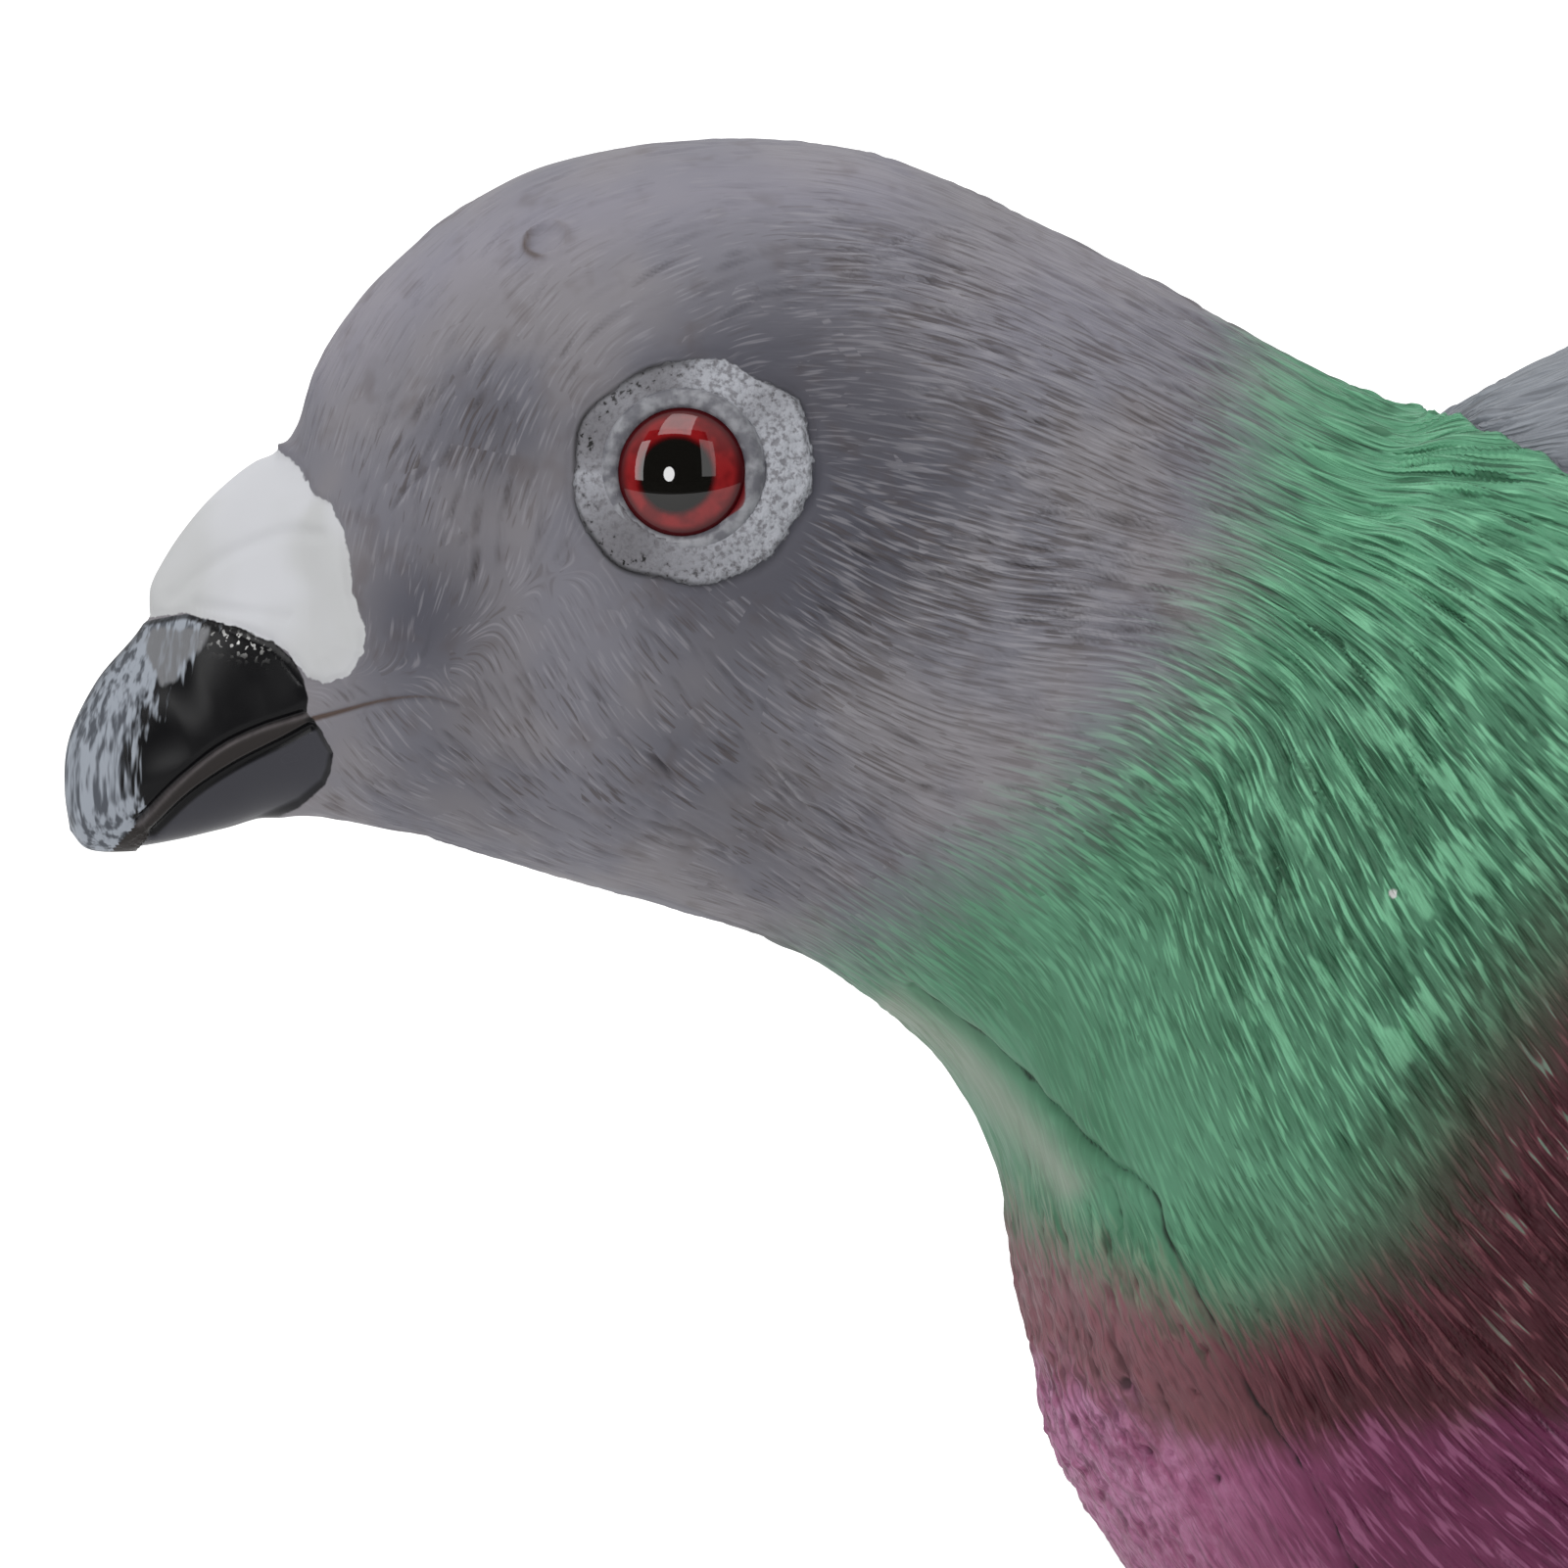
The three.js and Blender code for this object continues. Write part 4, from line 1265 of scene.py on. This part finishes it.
def makePlumageMaterial():
    # the painted casting: slate head, green and wine neck, grey mantle, white cere, black bill, bare rings
    material, tree, shader = newMaterial("painted resin")
    place = addNode(tree, "ShaderNodeTexCoord").outputs["Object"]
    cloud = noise(place, 8.0)
    broad = noise(place, 2.6, 2.0, 0.6)
    fine = noise(place, 0.75, 2.0, 0.6)

    def read(name):
        return readMap(tree, name)

    def edge(name, softness, wander, grain):
        inputs = {"Distance": read(name), "Noise": grain, "Wander": wander, "Softness": softness}
        return useGroup(tree, paintEdgeGroup, inputs)

    # Strokes: those carved in the mesh, and finer strands between them
    short = useGroup(tree, strandGroup, strands["short"])
    long = useGroup(tree, flowStrandGroup, strands["long"])
    cutShare, raisedShare = read("cut_share"), read("raised_share")
    shortShare = combine("MULTIPLY_ADD", read("tuft_share"), -0.8, 1.0)
    fineGroove = times(between(short, 0.42, 0.34), shortShare)
    fineGroove = combine("MAXIMUM", fineGroove, between(long, 0.45, 0.36))
    fineGroove = times(fineGroove, between(broad, 0.26, 0.46))
    fineRidge = times(between(short, 0.6, 0.7), shortShare, 0.5)
    fineRidge = combine("MAXIMUM", fineRidge, between(long, 0.53, 0.63))
    greenMask = edge("green_edge", 9.0, 7.0, long)
    # the wash in the grooves, partly painted shade, and the dry brush on the ridges, partly painted highlight
    groove = between(read("groove"), 0.15, 1.0)
    groove = times(groove, combine("MULTIPLY_ADD", greenMask, 0.45, 0.5))
    groove = combine("MAXIMUM", groove, times(fineGroove, cutShare))
    ridge = times(between(read("ridge"), 0.25, 1.1), 0.8)
    ridge = combine("MAXIMUM", ridge, times(fineRidge, raisedShare))

    def tinted(under, *layers):
        # a layer is its tint, and the values whose product is its share
        for name, *shares in layers:
            under = mixColour(times(*shares), under, tints[name])
        return under

    def paint(name, *layers):
        # a paint's own colour under its layers, washed in the grooves and dry-brushed on the ridges, partly
        # as painted shade and highlight
        body, wash, light, depth, brush = paints[name]
        inputs = {"Color": tinted(body, *layers), "Wash": wash, "Light": light, "Groove": groove}
        return useGroup(tree, washShadeAndHighlightGroup, inputs | {"Ridge": ridge, "Depth": depth, "Brush": brush})

    slate = paint(
        "slate",
        ("slateCool", between(cloud, 0.62, 0.38), 0.55),
        # darker round the eye: partly paint, partly painted shade in the hollow, under the brow and below the
        # eye
        ("slateDarkAndShade", read("eye_dark_paint_and_shade"), 0.85),
        # a lighter lilac where the skin faces up, as painted top light, and along the crown, partly paint and
        # partly painted highlight
        ("lilacHighlight", read("painted_top_light"), 0.08),
        ("lilacHighlight", read("crown_band_and_highlight"), 0.4),
        ("umber", between(broad, 0.52, 0.75), 0.25),
        ("slateLight", between(short, 0.54, 0.68), 0.35),
    )
    green = paint(
        "green",
        ("greenDeepAndShade", between(cloud, 0.55, 0.35), 0.45),
        # a painted sheen high on the neck, and painted shade lower on it
        ("greenSheen", read("green_sheen"), 0.9),
        ("greenDeepAndShade", read("green_low_shade"), 0.45),
    )
    # painted rim light on the breast's front, with lighter and darker blotches in it
    frontRimLight, deep = read("front_rim_light"), read("deep_side")
    wine = paint("wine", ("wineDeep", deep, 0.8), ("pinkRimLight", frontRimLight, 0.6))
    magenta = paint(
        "magenta",
        ("magentaDeep", deep, 0.8),
        ("roseRimLight", frontRimLight, between(broad, 0.4, 0.6), 0.6),
        ("roseRimLight", frontRimLight, between(fine, 0.52, 0.66), 0.5),
        ("magentaDeep", frontRimLight, between(fine, 0.48, 0.36), 0.6),
    )

    colour = mixColour(greenMask, slate, green)
    colour = tinted(colour, ("olive", nearLine(read("wine_edge"), 9.0), deep, 0.9))
    colour = mixColour(edge("wine_edge", 6.0, 6.0, long), colour, wine)
    brushEnds = combine("MULTIPLY_ADD", broad, 0.6, times(long, 0.4))
    colour = mixColour(edge("magenta_edge", 3.0, 5.0, brushEnds), colour, magenta)
    colour = mixColour(edge("mantle_edge", 0.4, 0.6, fine), colour, paint("mantle"))
    crease = combine("ADD", read("crease_line"), times(broad, 0.36))
    colour = tinted(
        colour,
        ("paleGreen", read("green_brush"), between(long, 0.63, 0.7), 0.6),
        # the pale strip on the throat, partly painted highlight
        ("throat", read("throat_strip_and_highlight"), 0.6),
        # painted shade in the throat crease
        ("recessShade", between(crease, 0.32, 0.18), 0.85),
        ("gape", between(read("gape_line"), 0.24, 0.06), 0.85),
        ("umber", read("bubble_mark"), 0.8),
        # painted shade in the breast's burst bubbles
        ("recessShade", between(read("pit_mark"), 0.25, 0.8), 0.75),
        ("speck", between(read("speck_mark"), 0.4, 0.7)),
    )

    # The bare ring: light pebbles, darker pits, and holes near its edge on the bill's side. Its darker parts
    # are partly painted shade, and the holes and a line along its edge are painted shade.
    ringMask = combine("SUBTRACT", 1.0, edge("ring_edge", 0.12, 0.6, fine))
    pebble = noise(place, 0.37, 2.0, 0.6)
    shade = read("ring_dark_and_shade")
    ring = tinted(
        tints["ring"],
        ("ringPitAndShade", between(pebble, 0.56, 0.34), 0.7),
        # painted shade on the ring's darker parts
        ("ringPitAndShade", shade, 0.85),
        ("recessShade", between(pebble, 0.4, 0.33), between(read("ring_edge"), -1.3, -0.9), shade),
    )
    colour = mixColour(ringMask, colour, ring)
    colour = tinted(colour, ("recessShade", nearLine(read("ring_edge"), 0.32), shade, 0.8))

    # The black bill, dry-brushed with light grey at its front, with a painted reflection of the top softbox
    # as a grey patch near its top
    billMask = combine("SUBTRACT", 1.0, edge("bill_edge", 0.1, 0.15, fine))
    turned = {"Vector": place, "Rotation": (0, math.radians(-21), 0), "Scale": (1, 1, 0.14)}
    streak = noise(joinNode("ShaderNodeMapping", turned).outputs[0], 0.5, 2.0, 0.6)
    ragged = times(combine("SUBTRACT", streak, 0.5), 5.0)
    frostMask = between(combine("ADD", read("frost_edge"), ragged), -0.3, 0.7)
    frost = tinted(tints["frost"], ("frostShade", between(streak, 0.58, 0.38)))
    bill = mixColour(frostMask, tints["bill"], frost)
    billReflection = tinted(tints["billReflection"], ("frost", between(streak, 0.5, 0.7), 0.4))
    bill = mixColour(edge("bill_reflection_edge", -0.35, 0.8, streak), bill, billReflection)
    outline = between(read("bill_edge"), -0.45, -0.2)
    bill = tinted(
        bill,
        ("speck", read("speck_patch"), between(noise(place, 0.3, 1.0), 0.56, 0.62)),
        ("mouthRidge", between(read("mouth_ridge"), 0.1, 0.3)),
        # lower mandible, partly a painted reflection of the floor
        ("mandibleGreyAndReflection", between(read("mouth_side"), -0.25, -0.4)),
        ("bill", combine("MAXIMUM", outline, read("bill_ridge")), 0.8),
        ("bill", between(read("mouth_line"), 0.4, 0.24), 0.9),
        # painted highlight along the mouth's groove
        ("mouthHighlight", read("mouth_highlight"), combine("MULTIPLY_ADD", streak, 0.6, 0.4)),
    )
    colour = mixColour(billMask, colour, bill)
    cereMask = combine("SUBTRACT", 1.0, edge("cere_edge", 0.12, 0.5, fine))
    cere = tinted(tints["cere"], ("cereShade", between(cloud, 0.4, 0.6)))
    colour = mixColour(cereMask, colour, cere)

    roughness = combine("MULTIPLY_ADD", broad, 0.16, 0.5)
    gloss = times(billMask, combine("MULTIPLY_ADD", frostMask, 0.25, -0.34))
    roughness = combine("SUBTRACT", combine("ADD", roughness, gloss), times(greenMask, 0.1))
    strandHeight = combine("MULTIPLY_ADD", raisedShare, 0.16, 0.05)
    strandHeight = combine("MULTIPLY_ADD", read("tuft_share"), 0.12, strandHeight)
    carvedShare = combine("ADD", cutShare, raisedShare)
    stroke = times(combine("SUBTRACT", long, 0.5), carvedShare, strandHeight)
    rough = times(frostMask, streak, billMask, 0.06)
    height = combine("ADD", stroke, combine("ADD", rough, times(pebble, ringMask, 0.2)))
    inputs = {"Base Color": colour, "Roughness": roughness, "Normal": relief(height, millimetre)}
    setSockets(shader, inputs | {"Specular IOR Level": 0.15})
    return material


def makeLidMaterial():
    # the lid's own grey, smoother and lighter than the ring round it, with red from the eye on its inner edge
    material, tree, shader = newMaterial("lid paint")
    place = addNode(tree, "ShaderNodeTexCoord").outputs["Object"]
    blotch = noise(place, 0.8, 3.0)
    colour = mixColour(between(blotch, 0.35, 0.65), linear(91, 91, 98), linear(135, 136, 141))
    inner = combine("MULTIPLY_ADD", readMap(tree, "eye_corner"), -0.42, readMap(tree, "from_rim"))
    colour = mixColour(between(inner, 3.62, 3.5), colour, linear(96, 14, 20))
    normal = relief(blotch, 0.08 * millimetre)
    setSockets(shader, {"Base Color": colour, "Roughness": 0.45, "Normal": normal})
    return material


def makeEyeMaterial():
    # a clear dome over a red iris with a darker rim, a brown edge within it and a black pupil
    material, tree, shader = newMaterial("glossy eye")
    place = addNode(tree, "ShaderNodeTexCoord").outputs["Object"]
    cloud = noise(place, 1.2)
    wander = times(combine("SUBTRACT", cloud, 0.5), 0.3)
    rim = combine("ADD", readMap(tree, "from_rim"), wander)
    pupil = combine("ADD", readMap(tree, "from_pupil"), times(wander, 0.5))
    iris = mixColour(between(cloud, 0.35, 0.65), linear(100, 13, 17), linear(132, 24, 27))
    iris = mixColour(between(rim, 2.95, 3.4), iris, linear(66, 9, 14))
    iris = mixColour(between(pupil, 2.42, 2.02), iris, linear(50, 10, 11))
    colour = mixColour(between(pupil, 2.06, 1.94), iris, linear(17, 16, 14))
    coat = between(readMap(tree, "from_rim"), 3.9, 2.9)
    setSockets(shader, {"Base Color": colour, "Roughness": 0.5, "Specular IOR Level": 0.0})
    setSockets(shader, {"Coat Weight": coat, "Coat Roughness": 0.02})
    return material


plumageMaterial = makePlumageMaterial()
lidMaterial = makeLidMaterial()
eyeMaterial = makeEyeMaterial()
for piece in skinPieces:
    piece.data.materials.append(plumageMaterial)
    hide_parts("pigeon_bust")
    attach(piece, "root")
for piece in (leftLid, rightLid):
    piece.data.materials.append(lidMaterial)
    piece.data.shade_smooth()
    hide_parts("pigeon_bust")
    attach(piece, "root")
for piece, node in ((leftEye, "left_eye"), (rightEye, "right_eye")):
    piece.data.materials.append(eyeMaterial)
    piece.data.shade_smooth()
    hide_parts(node)
    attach(piece, "root")
print("materials placed")

# Studio: a white room, a pale floor, soft lights, and a black card that the lights stand round. The places
# of lights are degrees from the camera's side, towards the tail, and degrees up.
studio = {
    "cameraPlace": (-0.0486, -1.4, 0.0506),
    "viewWidth": 0.08806,
    "aim": (-0.045, 0, 0.05),
    "front": 0.1,  # the room's light from the camera's side
    "back": 0.5,
    "above": 0.75,  # more light from above
    "seen": 1.3,
    "distance": 1.5,
    # name, turn, rise, width, height, power
    "panels": [
        ("top_softbox", -25, 50, 0.66, 1.0, 7.1),
        ("left_softbox", -49.5, 13, 0.27, 0.75, 2.9),
        ("right_softbox", 2, 15, 0.3, 0.7, 1.1),
    ],
    "lamp": (-24.5, 4, 0.094, 0.52),  # turn, rise, width, power
    "lampDistance": 0.8,
    "card": (-25, 29, -6.2, 37),  # turn of its middle, half its width, lowest and highest rise
    "cardDistance": 1.7,
    "floorReach": 0.42,
    "floorCorners": 96,
    "floorDrop": 0.0002,
}


def direction(turn, rise):
    turn, rise = math.radians(turn), math.radians(rise)
    return np.array([math.sin(turn) * math.cos(rise), -math.cos(turn) * math.cos(rise), math.sin(rise)])


def makeCamera():
    camera = addObject("camera", bpy.data.cameras.new("camera"))
    camera.location = studio["cameraPlace"]
    camera.rotation_euler = (math.pi / 2, 0, 0)
    camera.data.sensor_width = 36
    camera.data.lens = 36 * -studio["cameraPlace"][1] / studio["viewWidth"]
    camera.data.clip_start = 0.01
    camera.data.clip_end = 20
    bpy.context.scene.camera = camera


def makeWorld():
    # white all round for the camera; as light, dimmer from the camera's side and brighter from above
    world = bpy.data.worlds.new("studio")
    world.use_nodes = True
    tree = world.node_tree
    tree.nodes.clear()
    way = addNode(tree, "ShaderNodeTexCoord").outputs["Generated"]
    way = joinNode("ShaderNodeSeparateXYZ", {"Vector": way}).outputs
    behind = between(way["Y"], -0.7, 0.5)
    room = combine("MULTIPLY_ADD", behind, studio["back"] - studio["front"], studio["front"])
    room = combine("ADD", room, times(between(way["Z"], 0.0, 0.9), studio["above"]))
    seen = addNode(tree, "ShaderNodeLightPath").outputs["Is Camera Ray"]
    strength = addNode(tree, "ShaderNodeMix", {0: seen, 2: room, 3: studio["seen"]}).outputs[0]
    background = addNode(tree, "ShaderNodeBackground", {"Color": (1, 1, 1, 1), "Strength": strength})
    output = tree.nodes.new("ShaderNodeOutputWorld")
    tree.links.new(background.outputs[0], output.inputs[0])
    bpy.context.scene.world = world


def makeLight(name, shape, turn, rise, distance, size, power):
    # a flat soft light that faces the aim point
    data = bpy.data.lights.new(name, "AREA")
    data.shape = shape
    data.size, data.size_y = size
    data.energy = power
    light = addObject(name, data)
    light.location = np.array(studio["aim"]) + distance * direction(turn, rise)
    light.rotation_euler = (math.radians(90 - rise), 0, math.radians(turn))


def makeFloor():
    # a round floor that ends where the black card begins, a hair below the figure
    mesh = bpy.data.meshes.new("floor")
    count, reach = studio["floorCorners"], studio["floorReach"]
    angle = np.arange(count) * 2 * math.pi / count
    level = np.full(count, -studio["floorDrop"])
    corners = np.stack([reach * np.cos(angle), reach * np.sin(angle), level], axis=-1)
    mesh.from_pydata(corners.tolist(), [], [tuple(range(count))])
    floor = addObject("floor", mesh)
    material, _, shader = newMaterial("pale floor")
    setSockets(shader, {"Base Color": (0.5, 0.5, 0.5, 1), "Roughness": 0.8})
    setSockets(shader, {"Emission Color": (1, 1, 1, 1), "Emission Strength": 0.5})
    mesh.materials.append(material)


def makeDarkCard():
    # a bent black card between the softboxes, whose foot lies along the floor; the camera looks through it
    middle, half, low, high = studio["card"]
    turns = np.radians(np.linspace(middle - half, middle + half, 13))
    rises = np.radians(np.concatenate([np.linspace(low, -1.5, 8), np.linspace(0, high, 5)]))[:, None]
    away = np.stack(np.broadcast_arrays(np.sin(turns), -np.cos(turns), np.tan(rises)), axis=-1)
    toFloor = 0.98 * studio["aim"][2] / np.maximum(np.tan(-rises), 1e-3)
    vertices = np.array(studio["aim"]) + np.minimum(toFloor, studio["cardDistance"])[..., None] * away
    rows, columns = vertices.shape[:2]
    base = (np.arange(rows - 1) * columns)[:, None]
    across = np.arange(columns - 1)
    quads = bandQuads(base, base + columns, across, across + 1)
    card = makeQuadMesh("dark_card", vertices.reshape(-1, 3) / millimetre, quads)
    material, _, shader = newMaterial("black cloth")
    setSockets(shader, {"Base Color": (0.01, 0.01, 0.01, 1), "Roughness": 1.0, "Specular IOR Level": 0.0})
    card.data.materials.append(material)
    card.visible_camera = False


makeCamera()
makeWorld()
makeFloor()
makeDarkCard()
for name, turn, rise, wide, high, power in studio["panels"]:
    makeLight(name, "RECTANGLE", turn, rise, studio["distance"], (wide, high), power)
turn, rise, wide, power = studio["lamp"]
makeLight("small_lamp", "ELLIPSE", turn, rise, studio["lampDistance"], (wide, 1.3 * wide), power)
scene = bpy.context.scene
scene.view_settings.view_transform = "Standard"
scene.view_settings.look = "None"
print("studio made")
